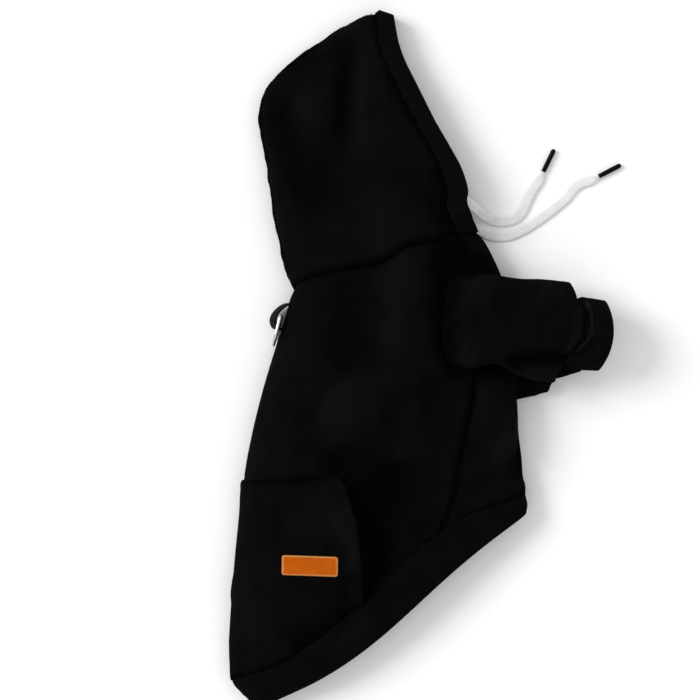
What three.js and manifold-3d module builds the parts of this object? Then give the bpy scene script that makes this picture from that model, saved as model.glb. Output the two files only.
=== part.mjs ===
// A dog hoodie, lying on its left side on a flat surface with its right side up.
// Millimetres. +Y runs from the tail hem to the hood's peak, +X from the back to the sleeves, +Z up.
// The origin is the middle of the garment's underside, its drawstring left out.
import * as THREE from "three";
import { mergeVertices } from "three/addons/utils/BufferGeometryUtils.js";
import Module from "manifold-3d";

const wasm = await Module();
wasm.setup();

// Cloth and seams
const CLOTH = 2.5; // brushed fleece
const SEAM_GAP = 0.3; // between two pieces that are sewn together

// Leash ring and the webbing loop that holds it
const RING_WIDTH = 26; // over the wire, across the dog's back
const RING_REACH = 28; // from the bar's middle to the bow's outer edge
const RING_WIRE = 3;
const STRAP_THICKNESS = 1.8;
const STRAP_LEAN = 0.3; // how far its upper edge leans towards the coat, as a share of its height
const STRAP_CLEARANCE = 0.6; // from each edge of the webbing to the ring's wire
const FLOOR_CLEARANCE = 0.2; // under the ring

// Coat
const BODY_LENGTH = 341; // down the back, nape seam to hem seam
const CHEST_WIDTH = 223; // across the coat laid flat, back fold to belly fold
const CHEST_LOFT = 48; // height of the chest as it lies
const EDGE_HEIGHT = RING_WIDTH / 2 + FLOOR_CLEARANCE; // the back and belly folds above the floor
const CHEST_RISE = 9.5; // how far the left sleeve props up the chest
const HEM_WIDTH = 32.5;
const HEM_THICKNESS = 5; // folded double
const HEM_ROUNDING = 0.3; // how much of each side of it rounds off towards the free edge, as a share

// Hood
const HOOD_HEIGHT = 247; // nape to peak
const HOOD_DEPTH = 172; // centre seam to face edge at the cheek
const HOOD_LOFT = 34;
const CASING_WIDTH = 18; // the channel round the face opening
const CHANNEL_HEIGHT = 3.4; // room for the cord inside it
const CASING_CORNER = 2.2; // where its face edge is rounded
const THROAT_SPACE = 5; // between the two casings where they meet at the throat
const FACE_DIP = 0.14; // how much lower the right half is at its face edge, as a share of its rise

// Sleeves and cuffs
const SLEEVE_LENGTH = 115; // armhole's inner end to cuff seam
const SLEEVE_WIDTH = 84;
const LEFT_SLEEVE_LOFT = 15; // the lower sleeve, squashed by the other
const CUFF_LENGTH = 25;
const CUFF_WIDTH = 64;
const CUFF_WALL = 3;
const CUFF_DRAW = 0.05; // how much narrower a cuff's free end is, as a share
const CUFF_BOW = 8; // how far a cuff bulges at the middle of its end
const CUFF_GATHER = 0.92; // where a sleeve starts to draw in to its cuff, as a share of its length
const BOW_START = 0.6; // where its sections start to bulge, in the same way

// Pocket and patch
const POCKET_STANDOFF = 0.5; // between the pocket's edges and the back
const POCKET_GAPE = 9; // how far the upper hand opening stands off the back
const PATCH_LENGTH = 49;
const PATCH_HEIGHT = 18.5;
const PATCH_THICKNESS = 1.6;
const PATCH_CORNER = 2.2;
const PATCH_TURN = -1.7; // degrees

// Drawstring
const CORD_WIDTH = 8.4;
const CORD_THICKNESS = 2.6;
const AGLET_LENGTH = 22;
const AGLET_DIAMETER = 4.2;
const SLOT_CLEARANCE = 0.4; // round the cord where it leaves its channel

// Shape of the sections of the coat's upper and lower sides and of the cord: 2 is an ellipse, and more is
// fuller
const TOP_FULLNESS = 2.2;
const FLOOR_FULLNESS = 8;
const CORD_FULLNESS = 2.85;

// Where the hood takes over from the shape of the coat, as heights h, and where its right half settles on
// its casing, as shares of the way to the face edge
const NECK_BOW = 0.1;
const NECK_BLEND = 0.12;
const THROAT_BLEND = 0.3;
const CASING_REST = { start: 0.55, full: 0.97 };
const FACE_BLEND = 0.6;

// Sections of the coat from the neck seam to the hem seam. back and belly are its two folds: X runs
// across in shares of CHEST_WIDTH and Y down in shares of BODY_LENGTH, both from the nape. bow and wave
// bend the section's line towards the hem, in shares of CHEST_WIDTH, and loft is its height in shares of
// CHEST_LOFT.
const COAT = [
  { t: 0, backX: 0, backY: 0, bellyX: 0.735, bellyY: -0.155, bow: -0.012, wave: 0, loft: 0.8 },
  { t: 0.06, backX: -0.014, backY: 0.036, bellyX: 0.785, bellyY: -0.1, bow: -0.01, wave: 0, loft: 0.86 },
  { t: 0.14, backX: -0.042, backY: 0.098, bellyX: 0.83, bellyY: -0.031, bow: -0.006, wave: 0, loft: 0.93 },
  { t: 0.24, backX: -0.08, backY: 0.175, bellyX: 0.856, bellyY: 0.059, bow: 0, wave: 0, loft: 0.98 },
  { t: 0.36, backX: -0.118, backY: 0.26, bellyX: 0.875, bellyY: 0.155, bow: 0, wave: 0, loft: 1 },
  { t: 0.48, backX: -0.156, backY: 0.361, bellyX: 0.883, bellyY: 0.253, bow: 0, wave: 0, loft: 0.98 },
  { t: 0.6, backX: -0.187, backY: 0.469, bellyX: 0.888, bellyY: 0.317, bow: 0, wave: 0, loft: 0.93 },
  { t: 0.7, backX: -0.196, backY: 0.567, bellyX: 0.894, bellyY: 0.371, bow: 0, wave: 0.005, loft: 0.86 },
  { t: 0.8, backX: -0.213, backY: 0.68, bellyX: 0.905, bellyY: 0.428, bow: 0, wave: 0.015, loft: 0.78 },
  { t: 0.88, backX: -0.228, backY: 0.799, bellyX: 0.909, bellyY: 0.469, bow: 0, wave: 0.03, loft: 0.7 },
  { t: 0.95, backX: -0.237, backY: 0.91, bellyX: 0.917, bellyY: 0.5, bow: -0.004, wave: 0.046, loft: 0.63 },
  { t: 1, backX: -0.233, backY: 1, bellyX: 0.921, bellyY: 0.526, bow: -0.007, wave: 0.055, loft: 0.58 },
];

// The hem band's free edge: how far each fold's end lies from the seam, in shares of HEM_WIDTH, with the
// bends and loft as in COAT.
const HEM_EDGE = {
  backX: 0.71,
  backY: 0.74,
  bellyX: -0.054,
  bellyY: 0.56,
  bow: 0.045,
  wave: 0.023,
  loft: 0.54,
};

// Where the side seam crosses a section, as a share of the way from the back fold to the belly fold.
const SIDE_SEAM = [
  { t: 0, share: 0.88 },
  { t: 0.4, share: 0.84 },
  { t: 0.62, share: 0.755 },
  { t: 0.85, share: 0.72 },
  { t: 1, share: 0.735 },
];

// Sections of the hood above the neck seam, its lowest one. back is the centre seam and face the face
// edge, across in shares of HOOD_DEPTH and up in shares of HOOD_HEIGHT, both from the nape. loft is the
// height in shares of HOOD_LOFT, and edge that of the centre seam in shares of EDGE_HEIGHT.
const HOOD = [
  { h: 0.08, backAcross: -0.036, backUp: 0.071, faceAcross: 0.918, faceUp: 0.27, loft: 1.05, edge: 1 },
  { h: 0.17, backAcross: -0.067, backUp: 0.164, faceAcross: 0.892, faceUp: 0.317, loft: 1, edge: 0.97 },
  { h: 0.28, backAcross: -0.103, backUp: 0.292, faceAcross: 0.897, faceUp: 0.363, loft: 0.98, edge: 0.93 },
  { h: 0.4, backAcross: -0.133, backUp: 0.427, faceAcross: 0.862, faceUp: 0.441, loft: 0.96, edge: 0.88 },
  { h: 0.51, backAcross: -0.167, backUp: 0.548, faceAcross: 0.804, faceUp: 0.516, loft: 0.94, edge: 0.84 },
  { h: 0.62, backAcross: -0.176, backUp: 0.641, faceAcross: 0.724, faceUp: 0.614, loft: 0.9, edge: 0.8 },
  { h: 0.73, backAcross: -0.126, backUp: 0.735, faceAcross: 0.643, faceUp: 0.728, loft: 0.84, edge: 0.76 },
  { h: 0.83, backAcross: 0, backUp: 0.833, faceAcross: 0.582, faceUp: 0.815, loft: 0.76, edge: 0.72 },
  { h: 0.91, backAcross: 0.169, backUp: 0.911, faceAcross: 0.549, faceUp: 0.879, loft: 0.68, edge: 0.69 },
  { h: 0.96, backAcross: 0.32, backUp: 0.973, faceAcross: 0.535, faceUp: 0.925, loft: 0.62, edge: 0.67 },
  { h: 1, backAcross: 0.446, backUp: 1.003, faceAcross: 0.521, faceUp: 0.985, loft: 0.56, edge: 0.66 },
];

// The upper sleeve's sections, from its rounded root in the armhole to the cuff seam: along in shares of
// SLEEVE_LENGTH, width of SLEEVE_WIDTH, and low and high of the height left between the lower sleeve and
// CHEST_LOFT.
const SLEEVE_RIGHT = [
  { along: 0, width: 0.3, low: 0.76, high: 0.92 },
  { along: 0.03, width: 0.64, low: 0.62, high: 1.06 },
  { along: 0.1, width: 0.89, low: 0.47, high: 1.23 },
  { along: 0.21, width: 0.99, low: 0.38, high: 1.31 },
  { along: 0.32, width: 1.02, low: 0.42, high: 1.29 },
  { along: 0.39, width: 1.01, low: 0.64, high: 1.26 },
  { along: 0.47, width: 1, low: 0.62, high: 1.22 },
  { along: 0.56, width: 1, low: 0.44, high: 1.14 },
  { along: 0.71, width: 1.04, low: 0.17, high: 1.02 },
  { along: 1, width: 1.04, low: 0.03, high: 0.91 },
];

// The lower sleeve's sections, in the same way, but low and rise are shares of CHEST_RISE, and loft of
// LEFT_SLEEVE_LOFT.
const SLEEVE_LEFT = [
  { along: 0, width: 0.3, low: 0.85, rise: 1.2, loft: 0 },
  { along: 0.03, width: 0.62, low: 0.5, rise: 1.5, loft: 0 },
  { along: 0.1, width: 0.88, low: 0.12, rise: 1.7, loft: 0 },
  { along: 0.19, width: 0.98, low: 0, rise: 1.75, loft: 0 },
  { along: 0.31, width: 1, low: 0, rise: 1.6, loft: 0 },
  { along: 0.39, width: 0.99, low: 0, rise: 0.92, loft: 0 },
  { along: 0.47, width: 0.98, low: 0, rise: 0.9, loft: 0 },
  { along: 0.61, width: 0.98, low: 0, rise: 0.9, loft: 0 },
  { along: 0.73, width: 1, low: 0, rise: 0, loft: 0.78 },
  { along: 0.84, width: 1, low: 0, rise: 0, loft: 0.95 },
  { along: 1, width: 0.98, low: 0, rise: 0, loft: 1 },
];

// Where the lower sleeve props up the chest: it starts, is full, starts to fade and is gone at these t,
// and it reaches in from the belly fold over these shares of a section.
const PROP = { start: 0.14, full: 0.26, fade: 0.54, gone: 0.68, inner: 0.44, outer: 0.63 };
const POCKET_RISE = { start: 0.5, full: 0.6 }; // where the pocket under the back lifts it

// Where each sleeve's root lies, in shares of CHEST_WIDTH and BODY_LENGTH from the nape, and its turn in
// degrees.
const ARM = {
  right: { across: 0.592, down: 0.072, turn: -5.8, fullness: 2.5 },
  left: { across: 0.503, down: 0.213, turn: 13.6, fullness: 3 },
};

// The pocket's edges: the t of its top seam at the fold and at its side, the side edge's share of a
// section at its top and foot, and the power by which the gape spreads along the hand opening.
const POCKET = { foldTop: 0.615, sideTop: 0.66, sideShareTop: 0.355, sideShareFoot: 0.44, gapeSpread: 0.8 };
const PATCH_PLACE = { across: 0.071, down: 0.704 };

// The webbing loop, in shares of RING_WIDTH from the nape: out of the nape, round the ring's bar and back
// to the fold.
const STRAP_ROUTE = [
  { across: 0.308, up: -0.462 },
  { across: -0.115, up: -0.404 },
  { across: -0.423, up: -0.577 },
  { across: -0.6, up: -0.808 },
  { across: -0.638, up: -1 },
  { across: -0.558, up: -1.192 },
  { across: -0.308, up: -1.288 },
  { across: 0.231, up: -1.308 },
];
const RING_BAR = { across: -0.373, up: -0.808 }; // in the same shares
const RING_TURN = 255.5; // degrees, from the bar to the bow

// The drawstring's two routes from inside its channel to its aglet. across and up are shares of
// HOOD_DEPTH from the nape, and rise is the height above the floor in shares of the channel's.
const CORD_ROUTES = {
  right: [
    { across: 0.843, up: 0.4826, rise: 1 },
    { across: 0.875, up: 0.468, rise: 1 },
    { across: 0.907, up: 0.4477, rise: 0.925 },
    { across: 0.9448, up: 0.4215, rise: 0.65 },
    { across: 0.9826, up: 0.3924, rise: 0.275 },
    { across: 1.0203, up: 0.3738, rise: 0.055 },
    { across: 1.064, up: 0.3622, rise: 0 },
    { across: 1.1076, up: 0.364, rise: 0 },
    { across: 1.1453, up: 0.3756, rise: 0 },
    { across: 1.1744, up: 0.4029, rise: 0 },
    { across: 1.1953, up: 0.4419, rise: 0.005 },
    { across: 1.2116, up: 0.4826, rise: 0.01 },
    { across: 1.2326, up: 0.5233, rise: 0.02 },
    { across: 1.2587, up: 0.561, rise: 0.025 },
    { across: 1.2791, up: 0.5959, rise: 0.03 },
    { across: 1.2907, up: 0.6192, rise: 0.03 },
  ],
  left: [
    { across: 0.875, up: 0.3477, rise: 1 },
    { across: 0.9128, up: 0.336, rise: 1 },
    { across: 0.9506, up: 0.3244, rise: 0.963 },
    { across: 0.9797, up: 0.3093, rise: 0.333 },
    { across: 1.0087, up: 0.2942, rise: 0 },
    { across: 1.0494, up: 0.286, rise: 0 },
    { across: 1.1047, up: 0.2895, rise: 0 },
    { across: 1.1453, up: 0.3012, rise: 0 },
    { across: 1.1831, up: 0.3186, rise: 0 },
    { across: 1.2209, up: 0.3395, rise: 0 },
    { across: 1.2674, up: 0.3721, rise: 0 },
    { across: 1.3198, up: 0.4105, rise: 0 },
    { across: 1.3663, up: 0.4477, rise: 0 },
    { across: 1.407, up: 0.4826, rise: 0.037 },
    { across: 1.4477, up: 0.5349, rise: 0.074 },
    { across: 1.4826, up: 0.5605, rise: 0.148 },
    { across: 1.5203, up: 0.5733, rise: 0.222 },
    { across: 1.5581, up: 0.5872, rise: 0.222 },
    { across: 1.5756, up: 0.5959, rise: 0.222 },
  ],
};

// How finely the pieces are divided
const BODY_ROWS = 16;
const BACK_COLUMNS = 26;
const BELLY_COLUMNS = 12;
const HOOD_ROWS = 15;
const HOOD_COLUMNS = 10;
const HOOD_SPACING = 1.7; // the power that sets the hood's columns closer together at the centre seam
const SLEEVE_SIDES = 20;
const HEM_COLUMNS = 36;
const HEM_ROWS = 4;
const POCKET_ROWS = 8;
const POCKET_COLUMNS = 16;
const PATCH_ROWS = 3;
const PATCH_COLUMNS = 6;
const CUFF_ROWS = 3;
const STRAP_STEPS = 18;
const RING_STEPS = 26;
const RING_SIDES = 8;
const CORD_STEPS = 21;
const CORD_SIDES = 10;
const AGLET_SIDES = 12;

// The value of one column of a table at a place along it, on a smooth curve through its rows.
function column(table, along, name, place) {
  const last = table.length - 1;
  let i = 0;
  while (i < last - 1 && place > table[i + 1][along]) i += 1;
  const slope = (k) => {
    const a = Math.max(k - 1, 0);
    const b = Math.min(k + 1, last);
    return (table[b][name] - table[a][name]) / (table[b][along] - table[a][along]);
  };
  const step = table[i + 1][along] - table[i][along];
  const u = (place - table[i][along]) / step;
  const bend = (1 - u) * (1 - u);
  return (
    (1 + 2 * u) * bend * table[i][name] +
    u * bend * step * slope(i) +
    u * u * (3 - 2 * u) * table[i + 1][name] +
    u * u * (u - 1) * step * slope(i + 1)
  );
}

function smooth(low, high, value) {
  return THREE.MathUtils.smoothstep(value, low, high);
}

// How far the left sleeve under the chest lifts the coat there, and the pocket under the back.
function lift(t, share) {
  const along = smooth(PROP.start, PROP.full, t) * (1 - smooth(PROP.fade, PROP.gone, t));
  const pocket = (CLOTH + POCKET_STANDOFF) * smooth(POCKET_RISE.start, POCKET_RISE.full, t);
  return CHEST_RISE * along * smooth(PROP.inner, PROP.outer, share) + pocket;
}

// The two folds, bends and loft of the coat's section at t. Past 1 it runs on to the hem band's free edge.
function coatSection(t) {
  const within = Math.min(t, 1);
  const value = (name) => column(COAT, "t", name, within);
  const hem = Math.max(t - 1, 0);
  const mix = (name) => value(name) + (HEM_EDGE[name] - value(name)) * hem;
  return {
    back: new THREE.Vector2(
      value("backX") * CHEST_WIDTH + HEM_EDGE.backX * HEM_WIDTH * hem,
      -value("backY") * BODY_LENGTH - HEM_EDGE.backY * HEM_WIDTH * hem,
    ),
    belly: new THREE.Vector2(
      value("bellyX") * CHEST_WIDTH + HEM_EDGE.bellyX * HEM_WIDTH * hem,
      -value("bellyY") * BODY_LENGTH - HEM_EDGE.bellyY * HEM_WIDTH * hem,
    ),
    bow: mix("bow") * CHEST_WIDTH,
    wave: mix("wave") * CHEST_WIDTH,
    loft: mix("loft") * CHEST_LOFT,
  };
}

// How full a section is at an angle round it: 0 at a fold, 1 where it is highest.
function fullness(angle, power) {
  return Math.sqrt(Math.max(1 - Math.abs(Math.cos(angle)) ** power, 0));
}

// A place on a rounded square one across and one up from its middle, at an angle round it.
function squared(angle, power) {
  const part = (value) => Math.sign(value) * Math.abs(value) ** (2 / power);
  return [part(Math.cos(angle)), part(Math.sin(angle))];
}

// A point of the coat's surface, moved in by inset. angle runs from the back fold, 0, over the upper side
// to the belly fold, pi, and back under the lower side.
function coatPoint(t, angle, inset) {
  const { back, belly, bow, wave, loft } = coatSection(t);
  const half = back.distanceTo(belly) / 2;
  const ahead = belly.clone().sub(back).normalize();
  const share = (1 - Math.cos(angle)) / 2;
  const bend = bow * Math.sin(Math.PI * share) + wave * Math.sin(2 * Math.PI * share);
  const reach = -Math.cos(angle) * (half - inset);
  const middle = back.clone().add(belly).multiplyScalar(0.5);
  const raised = lift(Math.min(t, 1), share);
  const level = EDGE_HEIGHT + raised * smooth(PROP.inner, PROP.outer, share);
  const up = Math.sin(angle) >= 0;
  const z = up
    ? level + (loft - level - inset) * fullness(angle, TOP_FULLNESS)
    : level - (level - raised - inset) * fullness(angle, FLOOR_FULLNESS);
  return new THREE.Vector3(
    middle.x + ahead.x * reach + ahead.y * bend,
    middle.y + ahead.y * reach - ahead.x * bend,
    z,
  );
}

function geometryOf(points, triangles) {
  const geometry = new THREE.BufferGeometry();
  const places = points.flatMap((p) => [p.x, p.y, p.z]);
  geometry.setAttribute("position", new THREE.Float32BufferAttribute(places, 3));
  geometry.setIndex(triangles);
  return facingOut(geometry);
}

// Turns the triangles round where the body would be inside out.
function facingOut(geometry) {
  const position = geometry.getAttribute("position");
  const index = geometry.getIndex().array;
  const [a, b, c] = [new THREE.Vector3(), new THREE.Vector3(), new THREE.Vector3()];
  let volume = 0;
  for (let i = 0; i < index.length; i += 3) {
    a.fromBufferAttribute(position, index[i]);
    b.fromBufferAttribute(position, index[i + 1]);
    c.fromBufferAttribute(position, index[i + 2]);
    volume += a.dot(b.cross(c));
  }
  if (volume < 0) geometry.setIndex(Array.from(index).reverse());
  return geometry;
}

// A wall between an outer and an inner grid of points, closed along its edges. A loop's last column meets
// its first.
function wall(outer, inner, loop = false) {
  const rows = outer.length;
  const columns = outer[0].length;
  const points = [...outer.flat(), ...inner.flat()];
  const at = (side, i, j) => side * rows * columns + i * columns + (j % columns);
  const triangles = [];
  const quad = (a, b, c, d) => triangles.push(a, b, c, a, c, d);
  const spans = loop ? columns : columns - 1;
  for (let i = 0; i < rows - 1; i += 1) {
    for (let j = 0; j < spans; j += 1) {
      quad(at(0, i, j), at(0, i, j + 1), at(0, i + 1, j + 1), at(0, i + 1, j));
      quad(at(1, i, j), at(1, i + 1, j), at(1, i + 1, j + 1), at(1, i, j + 1));
    }
    if (loop) continue;
    quad(at(0, i, 0), at(0, i + 1, 0), at(1, i + 1, 0), at(1, i, 0));
    quad(at(0, i, spans), at(1, i, spans), at(1, i + 1, spans), at(0, i + 1, spans));
  }
  for (let j = 0; j < spans; j += 1) {
    quad(at(0, 0, j), at(1, 0, j), at(1, 0, j + 1), at(0, 0, j + 1));
    quad(at(0, rows - 1, j), at(0, rows - 1, j + 1), at(1, rows - 1, j + 1), at(1, rows - 1, j));
  }
  return geometryOf(points, triangles);
}

// A tube's wall, closed at its start and open at its end.
function cup(outer, inner) {
  const sides = outer[0].length;
  const points = [...outer.flat(), ...inner.flat()];
  const first = outer.length * sides;
  const triangles = [];
  const quad = (a, b, c, d) => triangles.push(a, b, c, a, c, d);
  const around = (base, rows, turned) => {
    for (let i = 0; i < rows - 1; i += 1) {
      for (let j = 0; j < sides; j += 1) {
        const a = base + i * sides + j;
        const b = base + i * sides + ((j + 1) % sides);
        if (turned) quad(a, a + sides, b + sides, b);
        else quad(a, b, b + sides, a + sides);
      }
    }
  };
  around(0, outer.length, false);
  around(first, inner.length, true);
  const outerEnd = (outer.length - 1) * sides;
  const innerEnd = first + (inner.length - 1) * sides;
  for (let j = 0; j < sides; j += 1) {
    const next = (j + 1) % sides;
    quad(outerEnd + j, outerEnd + next, innerEnd + next, innerEnd + j);
  }
  for (const [ring, base, turned] of [[outer[0], 0, false], [inner[0], first, true]]) {
    const centre = points.push(centreOf(ring)) - 1;
    for (let j = 0; j < sides; j += 1) {
      const next = base + ((j + 1) % sides);
      triangles.push(...(turned ? [centre, base + j, next] : [centre, next, base + j]));
    }
  }
  return geometryOf(points, triangles);
}

function centreOf(ring) {
  return ring.reduce((sum, p) => sum.add(p), new THREE.Vector3()).divideScalar(ring.length);
}

// A closed body through rings of points, with a flat fan at each end.
function loft(rings) {
  const sides = rings[0].length;
  const points = rings.flat();
  const triangles = [];
  for (let i = 0; i < rings.length - 1; i += 1) {
    for (let j = 0; j < sides; j += 1) {
      const a = i * sides + j;
      const b = i * sides + ((j + 1) % sides);
      triangles.push(a, b, b + sides, a, b + sides, a + sides);
    }
  }
  const end = (rings.length - 1) * sides;
  for (const [ring, base, turn] of [[rings[0], 0, true], [rings.at(-1), end, false]]) {
    const centre = points.push(centreOf(ring)) - 1;
    for (let j = 0; j < sides; j += 1) {
      const next = base + ((j + 1) % sides);
      triangles.push(...(turn ? [centre, next, base + j] : [centre, base + j, next]));
    }
  }
  return geometryOf(points, triangles);
}

// A body swept round a closed loop of rings.
function closedLoft(rings) {
  const sides = rings[0].length;
  const triangles = [];
  rings.forEach((ring, i) => {
    const after = (i + 1) % rings.length;
    for (let j = 0; j < sides; j += 1) {
      const next = (j + 1) % sides;
      const a = i * sides + j;
      const b = i * sides + next;
      const c = after * sides + next;
      const d = after * sides + j;
      triangles.push(a, b, c, a, c, d);
    }
  });
  return geometryOf(rings.flat(), triangles);
}

function range(count, from, to) {
  return Array.from({ length: count + 1 }, (_, i) => from + ((to - from) * i) / count);
}

function solid(geometry) {
  const bare = geometry.index ? geometry.toNonIndexed() : geometry.clone();
  bare.deleteAttribute("normal");
  bare.deleteAttribute("uv");
  const merged = mergeVertices(bare, 1e-4);
  return new wasm.Manifold(
    new wasm.Mesh({
      numProp: 3,
      vertProperties: merged.getAttribute("position").array,
      triVerts: new Uint32Array(merged.index.array),
    }),
  );
}

function geometryFrom(manifold) {
  const made = manifold.getMesh();
  const geometry = new THREE.BufferGeometry();
  geometry.setAttribute("position", new THREE.Float32BufferAttribute(made.vertProperties, 3));
  geometry.setIndex(Array.from(made.triVerts));
  return geometry;
}

// The angle round a section at which the line from fold to fold is shared like this.
function angleOf(share) {
  return Math.acos(THREE.MathUtils.clamp(1 - 2 * share, -1, 1));
}

function seamAngle(t) {
  return angleOf(column(SIDE_SEAM, "t", "share", THREE.MathUtils.clamp(t, 0, 1)));
}

// Half the seam gap as an angle round the section at t.
function seamTurn(t, angle) {
  const { back, belly } = coatSection(t);
  return SEAM_GAP / (back.distanceTo(belly) * Math.sin(angle));
}

const END = SEAM_GAP / BODY_LENGTH; // the gap at the neck and hem seams, as a share of the coat

const COAT_ROWS = range(BODY_ROWS, END, 1 - END);

function backAngles(t) {
  const side = seamAngle(t) - seamTurn(t, seamAngle(t));
  return range(BACK_COLUMNS, -side, side);
}

function bellyAngles(t) {
  const side = seamAngle(t) + seamTurn(t, seamAngle(t));
  return range(BELLY_COLUMNS, side, 2 * Math.PI - side);
}

function coatPanel(angles) {
  const grid = (inset) => COAT_ROWS.map((t) => angles(t).map((angle) => coatPoint(t, angle, inset)));
  return wall(grid(0), grid(CLOTH));
}

// The coat filled solid and grown by a margin, divided as its panels are, to cut what meets it.
function coatSolid(margin) {
  const ring = (t) => [...backAngles(t), ...bellyAngles(t)].map((angle) => coatPoint(t, angle, -margin));
  return solid(loft(COAT_ROWS.map(ring)));
}

function hemBand() {
  const angles = range(HEM_COLUMNS, 0, 2 * Math.PI).slice(0, -1);
  const proud = CLOTH + POCKET_STANDOFF;
  const gap = SEAM_GAP / HEM_WIDTH;
  const grid = (inset) =>
    range(HEM_ROWS, 0, 1).map((down) => {
      const lower = Math.max(2 * down - 1, 0);
      const rounding = (1 - Math.sqrt(1 - lower ** 4)) * HEM_THICKNESS * HEM_ROUNDING;
      const depth = inset > 0 ? inset - rounding : inset + rounding;
      return angles.map((angle) => coatPoint(1 + gap + down * (1 - gap), angle, depth));
    });
  return wall(grid(-proud), grid(HEM_THICKNESS - proud), true);
}

// A point of the pocket, a height above the back panel that gapes at the upper hand opening.
function pocketPoint(down, across, height) {
  const side = Math.abs(across);
  const foot = 1 - END;
  const share = side * THREE.MathUtils.lerp(POCKET.sideShareTop, POCKET.sideShareFoot, down);
  const top = THREE.MathUtils.lerp(POCKET.foldTop, POCKET.sideTop, side);
  const t = THREE.MathUtils.lerp(top, foot, down);
  const opening = across > 0 ? side * side : 0;
  const gape = POCKET_GAPE * opening * Math.sin(Math.PI * down) ** POCKET.gapeSpread;
  return coatPoint(t, Math.sign(across) * angleOf(share), -(POCKET_STANDOFF + gape + height));
}

function backPocket() {
  const grid = (height) =>
    range(POCKET_ROWS, 0, 1).map((down) =>
      range(POCKET_COLUMNS, -1, 1).map((u) => pocketPoint(down, u * Math.abs(u), height)),
    );
  return wall(grid(CLOTH), grid(0));
}

// The height of the pocket's outer face under a point seen from above, found by following its slopes.
function pocketTop(x, y) {
  const rounds = 25;
  const step = 0.01;
  let best = { down: 0.5, across: 0.5 };
  for (let round = 0; round < rounds; round += 1) {
    const here = pocketPoint(best.down, best.across, CLOTH);
    const sideways = pocketPoint(best.down, best.across + step, CLOTH).sub(here).divideScalar(step);
    const lower = pocketPoint(best.down + step, best.across, CLOTH).sub(here).divideScalar(step);
    const turn = sideways.x * lower.y - sideways.y * lower.x;
    const [dx, dy] = [x - here.x, y - here.y];
    best = {
      across: best.across + (dx * lower.y - dy * lower.x) / turn,
      down: best.down + (sideways.x * dy - sideways.y * dx) / turn,
    };
  }
  return pocketPoint(best.down, best.across, CLOTH).z;
}

function pocketPatch() {
  const half = PATCH_LENGTH / 2;
  const straight = half - PATCH_CORNER;
  const corner = [1, 0.8, 0.45].map((share) => straight + PATCH_CORNER * share);
  const along = [
    ...corner.map((x) => -x),
    ...range(PATCH_COLUMNS, -straight, straight),
    ...corner.toReversed(),
  ];
  const turn = THREE.MathUtils.degToRad(PATCH_TURN);
  const grid = (height) =>
    along.map((x) => {
      const past = Math.max(Math.abs(x) - straight, 0);
      const reach = PATCH_HEIGHT / 2 - PATCH_CORNER + Math.sqrt(PATCH_CORNER ** 2 - past ** 2);
      return range(PATCH_ROWS, -reach, reach).map((y) => {
        const place = new THREE.Vector2(x, y).rotateAround(new THREE.Vector2(), turn);
        place.x += PATCH_PLACE.across * CHEST_WIDTH;
        place.y -= PATCH_PLACE.down * BODY_LENGTH;
        return new THREE.Vector3(place.x, place.y, pocketTop(place.x, place.y) + height);
      });
    });
  return wall(grid(SEAM_GAP + PATCH_THICKNESS), grid(SEAM_GAP));
}

// The hood's section at h, from the centre seam to the face edge. At 0 it meets the coat's neck edge.
function hoodSection(h) {
  const neck = coatSection(0);
  const scaled = HOOD.map((row) => ({
    h: row.h,
    backX: row.backAcross * HOOD_DEPTH,
    backY: row.backUp * HOOD_HEIGHT,
    faceX: row.faceAcross * HOOD_DEPTH,
    faceY: row.faceUp * HOOD_HEIGHT,
    loft: row.loft * HOOD_LOFT,
    edge: row.edge * EDGE_HEIGHT,
  }));
  const first = {
    h: 0,
    backX: neck.back.x,
    backY: neck.back.y,
    faceX: neck.belly.x,
    faceY: neck.belly.y,
    loft: neck.loft,
    edge: EDGE_HEIGHT,
  };
  const value = (name) => column([first, ...scaled], "h", name, h);
  return {
    back: new THREE.Vector2(value("backX"), value("backY")),
    face: new THREE.Vector2(value("faceX"), value("faceY")),
    loft: value("loft"),
    edge: value("edge"),
    bow: neck.bow * (1 - smooth(0, NECK_BOW, h)),
  };
}

const CASING_THICKNESS = 2 * CLOTH + CHANNEL_HEIGHT;

// A point of the hood, moved in by inset up to its end, a share of the way to the face edge. upper is the
// right half, and the lower one is the left half.
function hoodPoint(h, share, upper, inset, end = 1) {
  const { back, face, loft: height, edge, bow } = hoodSection(h);
  const ahead = face.clone().sub(back);
  const length = ahead.length();
  ahead.divideScalar(length);
  const reach = length * share + inset * Math.max(1 - share / end, 0);
  const bend = bow * Math.sin(Math.PI * share);
  const closed = fullness(angleOf(share), TOP_FULLNESS);
  const dip = 1 - FACE_DIP * smooth(FACE_BLEND, 1, share);
  const open = fullness(angleOf(Math.min(share, 0.5)), TOP_FULLNESS) * dip;
  const rise = THREE.MathUtils.lerp(closed, open, smooth(0, NECK_BLEND, h));
  const least = 2 * CASING_THICKNESS + THROAT_SPACE * smooth(0, THROAT_BLEND, 1 - h);
  const top = Math.max(
    edge + (height - edge) * rise,
    least * smooth(CASING_REST.start, CASING_REST.full, share),
  );
  const upperEdge = edge + SEAM_GAP / 2;
  const lowerEdge = edge - SEAM_GAP / 2;
  const depth = inset * Math.min(rise * 4, 1); // the wall thins out towards the centre seam
  const level = upper
    ? Math.max(top - depth, upperEdge)
    : lowerEdge - (lowerEdge - inset) * fullness(angleOf(share / 2), FLOOR_FULLNESS);
  return new THREE.Vector3(
    back.x + ahead.x * reach + ahead.y * bend,
    back.y + ahead.y * reach - ahead.x * bend,
    level,
  );
}

const NECK_GAP = (2 * SEAM_GAP) / HOOD_HEIGHT; // above the neck seam, as a share of the hood

function hoodLength(h) {
  const { back, face } = hoodSection(h);
  return back.distanceTo(face);
}

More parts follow.
